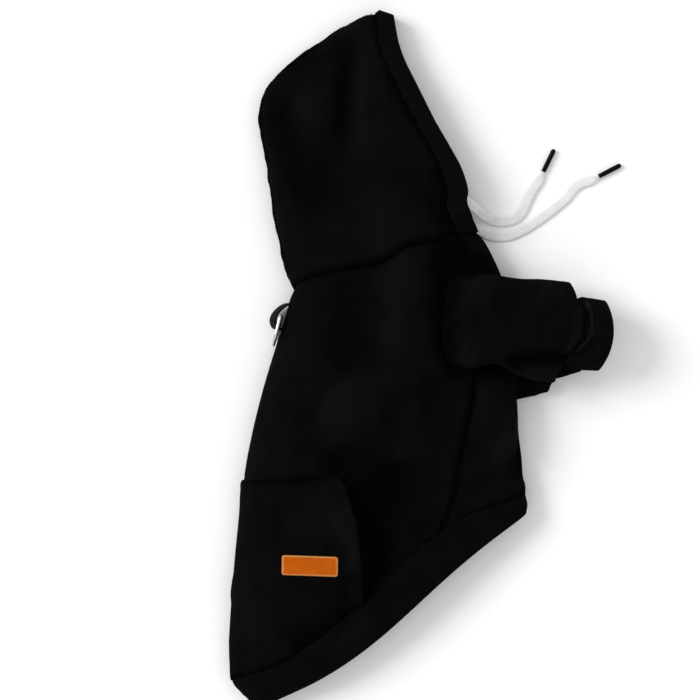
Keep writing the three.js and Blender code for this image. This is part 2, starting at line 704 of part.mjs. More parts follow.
// Where the narrowing hood is no wider than its casing, near the peak.
function panelEnd() {
  const least = 1.12 * CASING_WIDTH;
  let h = 1;
  while (hoodLength(h) < least) h -= 0.002;
  return h;
}

const PANEL_ROWS = range(HOOD_ROWS, NECK_GAP, panelEnd());
const CASING_ROWS = [...PANEL_ROWS, (PANEL_ROWS.at(-1) + 1) / 2, 1];

function hoodPanel(upper) {
  const grid = (inset) =>
    PANEL_ROWS.map((h) => {
      const end = 1 - (CASING_WIDTH + SEAM_GAP) / hoodLength(h);
      return range(HOOD_COLUMNS, 0, 1).map((i) => hoodPoint(h, end * i ** HOOD_SPACING, upper, inset, end));
    });
  return wall(grid(0), grid(CLOTH));
}

// The casing's sections: a flat ring of cloth round the cord's channel, open at both ends.
function casingRing(h, upper, inset) {
  const start = Math.max(1 - CASING_WIDTH / hoodLength(h), SEAM_GAP / hoodLength(h));
  const outerAt = (share) => hoodPoint(h, share, upper, 0);
  const [from, to] = [outerAt(start), outerAt(1)];
  from.z = upper ? Math.max(from.z, 2 * CASING_THICKNESS + SEAM_GAP) : to.z;
  to.z = upper ? Math.max(to.z, 2 * CASING_THICKNESS + SEAM_GAP) : to.z;
  const ahead = to.clone().sub(from);
  const width = Math.hypot(ahead.x, ahead.y);
  const into = upper ? -1 : 1;
  const place = (across, depth) => {
    const share = across / width;
    return new THREE.Vector3(
      from.x + ahead.x * share,
      from.y + ahead.y * share,
      from.z + ahead.z * share + into * depth,
    );
  };
  const edge = CASING_THICKNESS - inset;
  const corner = Math.max(inset, CASING_CORNER);
  return [
    place(inset, inset),
    place(width / 2, inset),
    place(width - corner, inset),
    place(width - inset, corner),
    place(width - inset, CASING_THICKNESS - corner),
    place(width - corner, edge),
    place(width / 2, edge),
    place(inset, edge),
  ];
}

// A box across the casing's outer wall, through which a cord leaves its channel.
function cordSlot(side) {
  const [inside, outside] = cordRoute(side).points;
  const length = Math.hypot(outside.x - inside.x, outside.y - inside.y);
  const box = new THREE.BoxGeometry(
    2 * length + 2 * CASING_WIDTH,
    CORD_WIDTH + 2 * SLOT_CLEARANCE,
    CORD_THICKNESS + 2 * SLOT_CLEARANCE,
  );
  box.translate(length + CASING_WIDTH, 0, 0);
  box.rotateZ(Math.atan2(outside.y - inside.y, outside.x - inside.x));
  box.translate(inside.x, inside.y, inside.z);
  return solid(box);
}

function faceCasing(side) {
  const upper = side === "right";
  const tube = wall(
    CASING_ROWS.map((h) => casingRing(h, upper, 0)),
    CASING_ROWS.map((h) => casingRing(h, upper, CLOTH)),
    true,
  );
  return geometryFrom(solid(tube).subtract(cordSlot(side)));
}

// A sleeve's section: its place, direction, half width, and low and high faces.
function sleeveSection(side, along) {
  const arm = ARM[side];
  const right = side === "right";
  const table = right ? SLEEVE_RIGHT : SLEEVE_LEFT;
  const value = (name) => column(table, "along", name, Math.min(along, 1));
  const base = LEFT_SLEEVE_LOFT + 2 * SEAM_GAP;
  const span = CHEST_LOFT - base;
  const turn = THREE.MathUtils.degToRad(arm.turn);
  return {
    x: arm.across * CHEST_WIDTH + Math.cos(turn) * along * SLEEVE_LENGTH,
    y: -arm.down * BODY_LENGTH + Math.sin(turn) * along * SLEEVE_LENGTH,
    turn,
    half: THREE.MathUtils.lerp(value("width") * SLEEVE_WIDTH, CUFF_WIDTH, smooth(CUFF_GATHER, 1, along)) / 2,
    low: right ? base + value("low") * span : value("low") * CHEST_RISE,
    high: right
      ? base + value("high") * span
      : value("rise") * CHEST_RISE + value("loft") * LEFT_SLEEVE_LOFT,
    bow: CUFF_BOW * smooth(BOW_START, 1, along),
    fullness: arm.fullness,
  };
}

function sleeveRing(section, inset) {
  const middle = (section.low + section.high) / 2;
  const tall = (section.high - section.low) / 2 - inset;
  const wide = section.half - inset;
  return range(SLEEVE_SIDES, 0, 2 * Math.PI)
    .slice(0, -1)
    .map((angle) => {
      const [across, up] = squared(angle, section.fullness);
      const ahead = section.bow * (1 - across * across);
      return new THREE.Vector3(
        section.x + Math.cos(section.turn) * ahead - Math.sin(section.turn) * across * wide,
        section.y + Math.sin(section.turn) * ahead + Math.cos(section.turn) * across * wide,
        middle + up * tall,
      );
    });
}

const SLEEVE_STATIONS = [0.03, 0.1, 0.2, 0.3, 0.39, 0.48, 0.58, 0.7, 0.82, 0.92, 0.96, 1];

function sleeveSolids(side) {
  const root = sleeveRing(sleeveSection(side, 0), 0);
  const outer = [root, ...SLEEVE_STATIONS.map((a) => sleeveRing(sleeveSection(side, a), 0))];
  const inner = SLEEVE_STATIONS.map((a) => sleeveRing(sleeveSection(side, a), CLOTH));
  return { tube: solid(cup(outer, inner)), hollow: solid(loft(inner)) };
}

// A cuff carries on from the sleeve's end and draws in a little.
function cuff(side) {
  const grid = (inset) =>
    range(CUFF_ROWS, 0, 1).map((share) => {
      const section = sleeveSection(side, 1 + (SEAM_GAP + share * CUFF_LENGTH) / SLEEVE_LENGTH);
      return sleeveRing({ ...section, half: section.half * (1 - CUFF_DRAW * share) }, inset);
    });
  return wall(grid(0), grid(CUFF_WALL), true);
}

// The webbing loop: a strip bent along its route, cut off where it meets the back.
function leashTab() {
  const points = STRAP_ROUTE.map((p) => new THREE.Vector2(p.across, p.up).multiplyScalar(RING_WIDTH));
  const middle = new THREE.SplineCurve(points).getPoints(STRAP_STEPS);
  const side = (sign) =>
    middle.map((p, i) => {
      const before = middle[Math.max(i - 1, 0)];
      const after = middle[Math.min(i + 1, middle.length - 1)];
      const ahead = after.clone().sub(before).normalize();
      return new THREE.Vector2(
        p.x - (sign * ahead.y * STRAP_THICKNESS) / 2,
        p.y + (sign * ahead.x * STRAP_THICKNESS) / 2,
      );
    });
  const outline = new THREE.Shape([...side(1), ...side(-1).reverse()]);
  const width = RING_WIDTH - 2 * RING_WIRE - 2 * STRAP_CLEARANCE;
  const strip = new THREE.ExtrudeGeometry(outline, { depth: width, bevelEnabled: false });
  strip.translate(0, 0, -width / 2);
  strip.applyMatrix4(new THREE.Matrix4().makeShear(0, 0, 0, 0, STRAP_LEAN, 0));
  strip.translate(0, 0, EDGE_HEIGHT);
  return strip;
}

// The D-ring: a straight bar, upright, two arms and a round bow.
function leashRing() {
  const radius = RING_WIRE / 2;
  const rise = RING_WIDTH / 2 - radius;
  const arm = RING_REACH - radius - rise;
  const corner = RING_WIRE;
  const path = new THREE.CurvePath();
  const at = (x, y) => new THREE.Vector2(x, y);
  path.add(new THREE.LineCurve(at(0, -rise + corner), at(0, rise - corner)));
  path.add(new THREE.QuadraticBezierCurve(at(0, rise - corner), at(0, rise), at(corner, rise)));
  path.add(new THREE.LineCurve(at(corner, rise), at(arm, rise)));
  path.add(new THREE.EllipseCurve(arm, 0, rise, rise, Math.PI / 2, -Math.PI / 2, true));
  path.add(new THREE.LineCurve(at(arm, -rise), at(corner, -rise)));
  path.add(new THREE.QuadraticBezierCurve(at(corner, -rise), at(0, -rise), at(0, -rise + corner)));
  const rings = range(RING_STEPS, 0, 1)
    .slice(0, -1)
    .map((u) => {
      const p = path.getPointAt(u);
      const ahead = path.getTangentAt(u);
      return range(RING_SIDES, 0, 2 * Math.PI)
        .slice(0, -1)
        .map((angle) => {
          const out = radius * Math.cos(angle);
          return new THREE.Vector3(p.x + ahead.y * out, radius * Math.sin(angle), p.y - ahead.x * out);
        });
    });
  return closedLoft(rings);
}

// A route whose frames keep a flat cord's wide side level.
class LevelRoute extends THREE.CatmullRomCurve3 {
  computeFrenetFrames(segments) {
    const tangents = range(segments, 0, 1).map((u) => this.getTangentAt(u));
    const normals = tangents.map((t) => new THREE.Vector3(-t.y, t.x, 0).normalize());
    const binormals = tangents.map((t, i) => new THREE.Vector3().crossVectors(t, normals[i]));
    return { tangents, normals, binormals };
  }
}

function cordRoute(side) {
  const floor = CORD_THICKNESS / 2 + FLOOR_CLEARANCE;
  const channel = side === "right" ? 2.5 * CASING_THICKNESS + SEAM_GAP : CASING_THICKNESS / 2;
  return new LevelRoute(
    CORD_ROUTES[side].map(
      ({ across, up, rise }) =>
        new THREE.Vector3(across * HOOD_DEPTH, up * HOOD_DEPTH, THREE.MathUtils.lerp(floor, channel, rise)),
    ),
  );
}

function drawstring(side) {
  const outline = new THREE.Shape(
    range(CORD_SIDES, 0, 2 * Math.PI)
      .slice(0, -1)
      .map((angle) => {
        const [across, up] = squared(angle, CORD_FULLNESS);
        return new THREE.Vector2((across * CORD_WIDTH) / 2, (up * CORD_THICKNESS) / 2);
      }),
  );
  return new THREE.ExtrudeGeometry(outline, { steps: CORD_STEPS, extrudePath: cordRoute(side) });
}

// An aglet carries on from the cord's end, lying on the floor.
function aglet(side) {
  const route = cordRoute(side);
  const end = route.getPointAt(1);
  const ahead = route.getTangentAt(1);
  const radius = AGLET_DIAMETER / 2;
  const tube = new THREE.CylinderGeometry(radius, radius, AGLET_LENGTH, AGLET_SIDES);
  tube.rotateZ(-Math.PI / 2);
  tube.translate(AGLET_LENGTH / 2 + SEAM_GAP, 0, 0);
  tube.rotateZ(Math.atan2(ahead.y, ahead.x));
  tube.translate(end.x, end.y, radius);
  return tube;
}

const fleece = new THREE.MeshStandardMaterial({ name: "fleece", color: 0x0c0c0d, roughness: 0.95 });
const rib = new THREE.MeshStandardMaterial({ name: "rib_knit", color: 0x0b0b0c, roughness: 0.9 });
const leather = new THREE.MeshStandardMaterial({ name: "leather", color: 0xbe550c, roughness: 0.55 });
const webbing = new THREE.MeshStandardMaterial({ name: "webbing", color: 0x0e0e0f, roughness: 0.8 });
const metal = new THREE.MeshStandardMaterial({
  name: "metal",
  color: 0xc9c9cc,
  roughness: 0.2,
  metalness: 1,
});
const cotton = new THREE.MeshStandardMaterial({ name: "cord_cotton", color: 0xe6e6e6, roughness: 0.85 });
const plastic = new THREE.MeshStandardMaterial({ name: "plastic", color: 0x0a0a0a, roughness: 0.3 });

const garment = new THREE.Group();
const cords = new THREE.Group();

function add(group, name, geometry, material) {
  const mesh = new THREE.Mesh(geometry, material);
  mesh.name = name;
  group.add(mesh);
  return mesh;
}

const coat = coatSolid(SEAM_GAP);
const sleeves = { right: sleeveSolids("right"), left: sleeveSolids("left") };
const armholes = sleeves.right.hollow.add(sleeves.left.hollow);

add(garment, "back_panel", geometryFrom(solid(coatPanel(backAngles)).subtract(armholes)), fleece);
add(garment, "belly_panel", geometryFrom(solid(coatPanel(bellyAngles)).subtract(armholes)), fleece);
for (const side of ["right", "left"]) {
  add(garment, `hood_panel_${side}`, hoodPanel(side === "right"), fleece);
  add(garment, `face_casing_${side}`, faceCasing(side), fleece);
  add(garment, `sleeve_${side}`, geometryFrom(sleeves[side].tube.subtract(coat)), fleece);
  add(garment, `cuff_${side}`, cuff(side), rib);
  add(cords, `drawstring_${side}`, drawstring(side), cotton);
  add(cords, `aglet_${side}`, aglet(side), plastic);
}
add(garment, "hem_band", hemBand(), fleece);
add(garment, "back_pocket", backPocket(), fleece);
add(garment, "pocket_patch", pocketPatch(), leather);
add(garment, "leash_tab", geometryFrom(solid(leashTab()).subtract(coat)), webbing);
const ring = add(garment, "leash_ring", leashRing(), metal);
ring.position.set(RING_BAR.across * RING_WIDTH, RING_BAR.up * RING_WIDTH, EDGE_HEIGHT);
ring.rotation.z = THREE.MathUtils.degToRad(RING_TURN);

const hoodie = new THREE.Group();
hoodie.add(garment, cords);
hoodie.updateMatrixWorld(true);
const middle = new THREE.Box3().setFromObject(garment).getCenter(new THREE.Vector3());
hoodie.position.set(-middle.x, -middle.y, 0);

export default hoodie;
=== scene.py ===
"""A dog hoodie that lies on its left side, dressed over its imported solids.

Shapes are worked out in millimetres from the nape, where the hood meets the back fold, with X across the coat,
Y up towards the hood and Z up from the floor. They are moved into the part's frame, in metres, as meshes.
"""

import logging
import math
from collections.abc import Sequence
from dataclasses import dataclass
from enum import Enum, StrEnum
from functools import cache

import bmesh
import bpy
import numpy as np
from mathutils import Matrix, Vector
from mathutils.bvhtree import BVHTree


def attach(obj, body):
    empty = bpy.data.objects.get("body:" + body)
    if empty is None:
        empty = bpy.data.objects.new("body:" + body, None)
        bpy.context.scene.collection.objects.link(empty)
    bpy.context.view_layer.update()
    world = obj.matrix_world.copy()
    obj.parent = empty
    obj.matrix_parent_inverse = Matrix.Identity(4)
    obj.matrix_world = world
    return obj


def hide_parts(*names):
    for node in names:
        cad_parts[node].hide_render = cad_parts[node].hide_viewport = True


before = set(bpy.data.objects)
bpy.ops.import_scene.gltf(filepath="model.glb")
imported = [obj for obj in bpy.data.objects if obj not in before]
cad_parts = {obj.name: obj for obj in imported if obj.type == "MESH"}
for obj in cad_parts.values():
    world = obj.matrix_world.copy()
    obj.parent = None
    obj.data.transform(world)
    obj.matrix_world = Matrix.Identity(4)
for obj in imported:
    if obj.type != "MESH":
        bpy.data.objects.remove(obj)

LOG = logging.getLogger("hoodie")
Array = np.ndarray
Piece = bpy.types.Object
Material = bpy.types.Material
NodeTree = bpy.types.NodeTree
Socket = bpy.types.NodeSocket
Triple = tuple[float, float, float]  # a colour or a place

MM = 0.001
NAPE = np.array([-112.031, 59.142, 0.0])  # the nape's place in the part's frame
CLOTH = 2.5
SEAM_GAP = 0.3
JOIN = 0.12  # how far the cloths on both sides of a seam run into each other
FLOOR_GAP = 0.2
CLEAR = 0.02  # the least height of the cloth above the floor
EDGE_HEIGHT = 13.2  # the back and belly folds above the floor
TOP_FULLNESS = 2.2  # how full a section is above those folds: 2 is an ellipse, and more is squarer
FLOOR_FULLNESS = 8.0  # the same below them
RIPPLE_WAVES = 7
GARMENT = "garment"
RING = "leash_ring"
GEOMETRY = "NodeSocketGeometry"


class Side(StrEnum):
    """The dog's side that a piece belongs to: the right one is uppermost."""

    RIGHT = "right"
    LEFT = "left"


class Edge(Enum):
    """How a panel of cloth ends: dipping into a seam, rounded off, or as it is."""

    SEAM = "seam"
    FREE = "free"
    PLAIN = "plain"


# Numbers


def smooth(low: float, high: float, value: Array | float) -> Array | float:
    """Return 0 below low, 1 above high and a smooth step between them.

    Args:
        low: where the step starts.
        high: where it ends.
        value: the places to look at.

    Returns:
        The step's height at each place.
    """
    t = np.clip((np.asarray(value, float) - low) / (high - low), 0.0, 1.0)
    return t * t * (3.0 - 2.0 * t)


def column(table: dict[str, Sequence[float]], along: str, name: str, place: Array | float) -> Array:
    """Read one column of a table on a smooth curve through its rows.

    Args:
        table: named columns of equal length.
        along: the column that says where each row lies.
        name: the column that is read.
        place: where to read it.

    Returns:
        The column's value at each place.
    """
    x, v = np.array(table[along], float), np.array(table[name], float)
    last = len(x) - 1
    at = np.asarray(place, float)
    i = np.clip(np.searchsorted(x, at, side="left") - 1, 0, last - 1)
    before, after = np.maximum(np.arange(last + 1) - 1, 0), np.minimum(np.arange(last + 1) + 1, last)
    slope = (v[after] - v[before]) / (x[after] - x[before])
    step = x[i + 1] - x[i]
    u = (at - x[i]) / step
    bend = (1 - u) ** 2
    return (
        (1 + 2 * u) * bend * v[i]
        + u * bend * step * slope[i]
        + u * u * (3 - 2 * u) * v[i + 1]
        + u * u * (u - 1) * step * slope[i + 1]
    )


def fullness(angle: Array, power: float) -> Array:
    """Return how full a section is at an angle round it: 0 at a fold, 1 where it is highest."""
    return np.sqrt(np.maximum(1.0 - np.abs(np.cos(angle)) ** power, 0.0))


def angle_of(share: Array | float) -> Array:
    """Return the angle round a section at which the line from fold to fold is shared like this."""
    return np.arccos(np.clip(1.0 - 2.0 * np.asarray(share, float), -1.0, 1.0))


def spread(count: int, low: float = 0.0, high: float = 1.0, crowd: float = 0.82) -> Array:
    """Return count + 1 places from low to high that lie closer together at both ends.

    Args:
        count: the number of steps.
        low: the first place.
        high: the last place.
        crowd: 0 spaces them evenly, and towards 1 the ends are ever denser.

    Returns:
        The places.
    """
    u = np.linspace(0.0, 1.0, count + 1)
    return low + (high - low) * (u - crowd * np.sin(2 * np.pi * u) / (2 * np.pi))


def ripple(points: Array, size: float, seed: int) -> Array:
    """Return a soft irregular field between about -1 and 1 over some points, added up from plain waves.

    Args:
        points: the places, in millimetres.
        size: the usual distance from one crest to the next.
        seed: which of the many such fields is given.

    Returns:
        The field's value at each point.
    """
    rng = np.random.default_rng(seed)
    total = np.zeros(points.shape[:-1])
    for _ in range(RIPPLE_WAVES):
        way = rng.normal(size=3)
        way /= np.linalg.norm(way)
        turns = 2 * np.pi / (size * rng.uniform(0.7, 1.6))
        total += np.sin(points @ way * turns + rng.uniform(0, 2 * np.pi))
    return total / math.sqrt(RIPPLE_WAVES) * 0.9


def unit(vectors: Array) -> Array:
    """Return vectors of length 1 in the same directions."""
    return vectors / np.maximum(np.linalg.norm(vectors, axis=-1, keepdims=True), 1e-9)


def around(count: int) -> Array:
    """Return even angles round a full turn."""
    return np.linspace(0, 2 * np.pi, count, endpoint=False)


def squared(angle: Array, power: Array | float) -> tuple[Array, Array]:
    """Return the cosine and sine of angles round a section, which a power below 1 makes squarer."""
    cosine, sine = np.cos(angle), np.sin(angle)
    return np.sign(cosine) * np.abs(cosine) ** power, np.sign(sine) * np.abs(sine) ** power


def run_of(points: Array) -> Array:
    """Return how far along a line each of its points lies."""
    return np.concatenate([[0.0], np.cumsum(np.linalg.norm(np.diff(points, axis=0), axis=1))])


def length_of(points: Array) -> float:
    """Return the length of a line through some points."""
    return float(np.linalg.norm(np.diff(points, axis=0), axis=1).sum())


def beside(start: Array, ahead: Array, reach: Array, bend: Array, z: Array) -> Array:
    """Return the points at height z that lie reach ahead of some places and bend to the right of there."""
    return np.stack([
        start[..., 0] + ahead[..., 0] * reach + ahead[..., 1] * bend,
        start[..., 1] + ahead[..., 1] * reach - ahead[..., 0] * bend,
        z,
    ], -1)


def route_through(points: Array, count: int) -> Array:
    """Return evenly spaced places on a smooth curve through some points.

    Args:
        points: the points that the curve goes through.
        count: the number of steps.

    Returns:
        count + 1 places along the curve.
    """
    chord = run_of(points)
    table = {"s": chord, "x": points[:, 0], "y": points[:, 1], "z": points[:, 2]}
    fine = np.linspace(0.0, chord[-1], 12 * len(points))
    dense = np.stack([column(table, "s", axis, fine) for axis in "xyz"], axis=-1)
    run = run_of(dense)
    even = np.linspace(0.0, run[-1], count + 1)
    return np.stack([np.interp(even, run, dense[:, k]) for k in range(3)], axis=-1)


# Meshes


def place_object(name: str, data: bpy.types.ID) -> Piece:
    """Put a new object with this data in the scene."""
    made = bpy.data.objects.new(name, data)
    bpy.context.scene.collection.objects.link(made)
    return made


def mesh_object(name: str, points: Array, faces: list, finish: Material | None = None) -> Piece:
    """Make an object from points in millimetres from the nape.

    Args:
        name: the object's name.
        points: its points.
        faces: tuples of point numbers.
        finish: its material, unless it only serves to cut others.

    Returns:
        The object, at the origin and smoothly shaded, with its faces pointing outwards.
    """
    mesh = bpy.data.meshes.new(name)
    mesh.from_pydata(((points + NAPE) * MM).tolist(), [], faces)
    work = bmesh.new()
    work.from_mesh(mesh)
    bmesh.ops.recalc_face_normals(work, faces=work.faces)
    work.to_mesh(mesh)
    work.free()
    mesh.polygons.foreach_set("use_smooth", np.ones(len(mesh.polygons), bool))
    mesh.update()
    if finish:
        mesh.materials.append(finish)
    return place_object(name, mesh)


def hand_over(
    piece: Piece, slot: str, *nodes: str, body: str = GARMENT, cloth: "Panel | None" = None,
    rests_on: Sequence[Piece] = (),
) -> Piece:
    """Parent a finished piece to its body's empty and hide the solids that it stands for.

    Args:
        piece: the piece, with no modifier left on it.
        slot: not used.
        nodes: the solids that it stands for.
        body: the body that it rides on.
        cloth: its panel, where it is a sheet of cloth.
        rests_on: not used.

    Returns:
        The piece.
    """
    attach(piece, body)
    if nodes:
        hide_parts(*nodes)
    if cloth is not None:
        width, length, area = cloth.flat_size()
    LOG.info("%s: %d points", piece.name, len(piece.data.vertices))
    return piece


def give_uv(piece: Piece, places: Array, girth: float = 0.0) -> None:
    """Give a piece a UV map in metres from a place for each of its points.

    Args:
        piece: the piece.
        places: across and along for each point, in millimetres.
        girth: the length of a closed loop across, so that the last column runs on instead of back.
    """
    mesh = piece.data
    layer = mesh.uv_layers.new(name="Cloth")
    corner = np.empty(len(mesh.loops), int)
    mesh.loops.foreach_get("vertex_index", corner)
    uv = places[corner] * MM
    if girth:
        start = np.empty(len(mesh.polygons), int)
        total = np.empty(len(mesh.polygons), int)
        mesh.polygons.foreach_get("loop_start", start)
        mesh.polygons.foreach_get("loop_total", total)
        most = np.repeat(np.maximum.reduceat(uv[:, 0], start), total)
        uv[:, 0] += np.where(most - uv[:, 0] > girth * MM / 2, girth * MM, 0.0)
    layer.data.foreach_set("uv", uv.astype(np.float32).ravel())


def give_value(piece: Piece, name: str, values: Array) -> None:
    """Give each point of a piece a number that its material can read."""
    made = piece.data.attributes.new(name, "FLOAT", "POINT")
    made.data.foreach_set("value", values.astype(np.float32))


def grid_normals(points: Array, loop: bool) -> Array:
    """Return the direction square to a grid of points at each of them."""
    down = np.gradient(points, axis=0)
    if loop:
        over = np.roll(points, -1, axis=1) - np.roll(points, 1, axis=1)
    else:
        over = np.gradient(points, axis=1)
    return unit(np.cross(down, over))


def run_length(points: Array, axis: int) -> Array:
    """Return how far each point of a grid lies from the grid's first row or column."""
    step = np.linalg.norm(np.diff(points, axis=axis), axis=-1)
    pad = [(0, 0), (0, 0)]
    pad[axis] = (1, 0)
    return np.pad(np.cumsum(step, axis=axis), pad)


@dataclass(frozen=True)
class Fold:
    """A ridge or crease that runs along a line on the upper side of the cloth, with painted shade in a crease
    and a painted highlight on a ridge.
    """

    line: tuple[tuple[float, float], ...]  # places from the nape
    height: float  # a crease has a negative one
    width: float
    sharp: float = 2.0  # 2 is a soft ridge, and less is a pinched one
    fade: float = 0.3  # how strongly it is painted: shade in a crease, a highlight on a ridge
    painted_relief_strength: float = 1.0  # how strongly the nap shows it
    halo: float = 3.0  # how far past its flanks that painted shade and highlight reach

    def over(self, points: Array) -> tuple[Array, Array]:
        """Return the fold's height over some points, and the painted shade and highlight around it.

        Args:
            points: places, of which only X and Y count.

        Returns:
            The height at each of them, and the painted shade and highlight, which reach further.
        """
        line = np.array(self.line, float)
        lengths = np.linalg.norm(np.diff(line, axis=0), axis=1)
        starts = np.concatenate([[0.0], np.cumsum(lengths)])
        nearest = np.full(points.shape[:-1], 1e9)
        along = np.zeros(points.shape[:-1])
        for a, b, length, start in zip(line[:-1], line[1:], lengths, starts[:-1]):
            way = (b - a) / length
            off = points[..., :2] - a
            share = np.clip(off @ way, 0.0, length)
            away = np.linalg.norm(off - share[..., None] * way, axis=-1)
            closer = away < nearest
            nearest = np.where(closer, away, nearest)
            along = np.where(closer, start + share, along)
        place = along / starts[-1]
        ends = smooth(0.0, self.fade, place) * smooth(0.0, self.fade, 1.0 - place)
        height = self.height * ends * np.exp(-((nearest / self.width) ** self.sharp))
        reach = 1.35 * self.width + self.halo
        brushed_and_painted_light = self.painted_relief_strength * self.height * np.sqrt(ends) * np.exp(-((nearest / reach) ** 2))
        return height, brushed_and_painted_light


@dataclass
class Panel:
    """A wall of cloth over a grid of points, with its seams, puckers and folds, and the painted shade of its
    creases and seams.
    """

    name: str
    base: Array  # the outer face, rows by columns
    within: Array  # the same grid a little further in, which tells the way out
    start: Edge = Edge.SEAM  # the first row
    end: Edge = Edge.SEAM  # the last row
    left: Edge = Edge.SEAM  # the first column
    right: Edge = Edge.SEAM  # the last column
    loop: bool = False
    wall: float = CLOTH
    seam_dip: float = 1.6
    seam_reach: float = 3.8
    pucker: float = 0.45
    pucker_reach: float = 9.0
    seed: int = 1

    def __post_init__(self) -> None:
        """Work out the panel's normals and the distances from its edges."""
        self.normal = grid_normals(self.base, self.loop)
        if np.sum(self.normal * (self.base - self.within)) < 0:
            self.normal = -self.normal
        self.rows = run_length(self.base, 0)
        self.columns = run_length(self.base, 1)
        self.away = {
            "start": self.rows,
            "end": self.rows[-1] - self.rows,
            "left": self.columns,
            "right": self.columns[:, -1:] - self.columns,
        }
        shape = self.base.shape[:2]
        # relief and painted_shade hold the painted shade and highlight that the attribute "crease" carries
        self.lift, self.soft, self.relief, self.painted_shade, self.rounding = (np.zeros(shape) for _ in range(5))
        for edge, away in self.away.items():
            if not (self.loop and edge in ("left", "right")):
                self._shape_edge(getattr(self, edge), away)

    def _shape_edge(self, kind: Edge, away: Array) -> None:
        """Dip or round the cloth off near one edge, and paint shade along a seam's dip."""
        if kind is Edge.SEAM:
            uneven = 1 + 0.3 * ripple(self.base, 11.0, self.seed)
            self.lift -= self.seam_dip * uneven * np.exp(-((away / self.seam_reach) ** 2))
            waves = ripple(self.base, 8.5, self.seed + 7)
            self.lift += self.pucker * waves * np.exp(-away / self.pucker_reach) * (1 - np.exp(-away / 2.0))
            # painted shade along the seam's dip
            self.painted_shade = np.maximum(self.painted_shade, 1.5 * np.exp(-((away / self.seam_reach) ** 2)))
        elif kind is Edge.FREE:
            radius = self.wall / 2
            self.rounding += radius - np.sqrt(radius**2 - np.maximum(radius - away, 0.0) ** 2)

    def fold(self, folds: Sequence[Fold]) -> None:
        """Raise folds in the cloth that faces up, and add their painted shade and highlight."""
        up = smooth(0.0, 0.5, self.normal[..., 2])
        for one in folds:
            height, brushed_and_painted_light = one.over(self.base)
            self.raise_cloth(height * up)
            # the fold's painted shade and highlight
            self.relief += brushed_and_painted_light

    def raise_cloth(self, height: Array) -> None:
        """Move both faces of the cloth out by a height at each point."""
        self.lift += height
        self.soft += height

    def sway(self, height: float, size: float, seed: int) -> None:
        """Add broad soft unevenness to the cloth that faces up."""
        self.raise_cloth(height * ripple(self.base, size, seed) * smooth(0.0, 0.6, self.normal[..., 2]))

    def outer(self, margin: float = 0.0) -> Array:
        """Return the outer face, moved out by a margin, but never into the floor."""
        face = self.base + self.normal * (self.lift - self.rounding + margin)[..., None]
        if not margin:
            face[..., 2] = np.maximum(face[..., 2], CLEAR)
        return face

    def inner(self) -> Array:
        """Return the inner face."""
        seam = np.clip(self.lift - self.soft, -self.wall * 0.6, 1.0)
        face = self.base + self.normal * (self.soft + 0.5 * seam - self.wall + self.rounding)[..., None]
        face[..., 2] = np.maximum(face[..., 2], self.wall * 0.55 + CLEAR)
        return face

    def build(self, material: Material, inner: Array | None = None) -> Piece:
        """Make the panel's mesh.

        Args:
            material: its finish.
            inner: the inner face, where it isn't the panel's own.

        Returns:
            The closed wall of cloth.
        """
        outer = self.outer()
        inner = self.inner() if inner is None else inner
        points = np.concatenate([outer.reshape(-1, 3), inner.reshape(-1, 3)])
        made = mesh_object(self.name, points, wall_faces(*outer.shape[:2], self.loop), material)
        places, girth = self.places()
        give_uv(made, np.concatenate([places, places]), girth if self.loop else 0.0)
        # the attribute "crease" carries painted shade and highlight to the material
        give_value(made, "crease", np.concatenate([self.crease().ravel(), np.zeros(inner.size // 3)]))
        return made

    def places(self) -> tuple[Array, float]:
        """Return across and along for each point of the grid, and the length of a loop across."""
        girth = float(self.columns[:, -1].mean() * (1 + 1 / self.base.shape[1]))
        return np.stack([self.columns, self.rows], axis=-1).reshape(-1, 2), girth

    def crease(self) -> Array:
        """Return how much shade is painted at each point, from -1, a painted highlight on a ridge, to 1,
        painted shade in creases and along seams.
        """
        return np.tanh(-self.relief / 4.0) + self.painted_shade

    def flat_size(self) -> Triple:
        """Return the width, length and area, in metres, that the cloth was cut to."""
        width = float(self.columns[:, -1].max()) * MM
        length = float(self.rows[-1].max()) * MM
        if self.loop:
            width *= 1 + 1 / (self.base.shape[1] - 1)
        return round(width, 4), round(length, 4), min(area_of(self), 0.999 * width * length)

    def line(self, edge: str, distance: float, lift: float = 0.15) -> tuple[Array, Array]:
        """Return a line on the outer face at a distance from one edge.

        Args:
            edge: start, end, left or right.
            distance: how far from it the line runs.
            lift: how far above the cloth.

        Returns:
            The line's points, and how far the cloth faces up at each, from -1 to 1.
        """
        face = np.concatenate([self.outer() + self.normal * lift, self.normal[..., 2:]], axis=-1)
        away = self.away[edge]
        if edge in ("left", "right"):
            face, away = face.transpose(1, 0, 2), away.T
        if edge in ("end", "right"):
            face, away = face[::-1], away[::-1]
        found = np.array([
            [np.interp(distance, away[:, j], face[:, j, k]) for k in range(4)] for j in range(away.shape[1])
        ])
        return found[:, :3], found[:, 3]


def wall_faces(rows: int, columns: int, loop: bool = False) -> list:
    """Return the faces of a wall between an outer and an inner grid, closed along its edges.

    Args:
        rows: the rows of each grid.
        columns: its columns.
        loop: whether the last column meets the first.

    Returns:
        Tuples of point numbers.
    """
    inner = rows * columns
    grid = np.arange(inner).reshape(rows, columns)
    if loop:
        grid = np.concatenate([grid, grid[:, :1]], axis=1)
    a, b, c, d = grid[:-1, :-1], grid[:-1, 1:], grid[1:, 1:], grid[1:, :-1]
    quads = [np.stack([a, b, c, d], -1).reshape(-1, 4), np.stack([a, d, c, b], -1).reshape(-1, 4) + inner]
    rims = [(grid[0], False), (grid[-1], True)] + ([] if loop else [(grid[:, 0], True), (grid[:, -1], False)])
    for rim, forward in rims:
        this, after = rim[:-1], rim[1:]
        ring = (
            (this, after, after + inner, this + inner)
            if forward
            else (this, this + inner, after + inner, after)
        )
        quads.append(np.stack(ring, -1))
    return np.concatenate(quads).tolist()


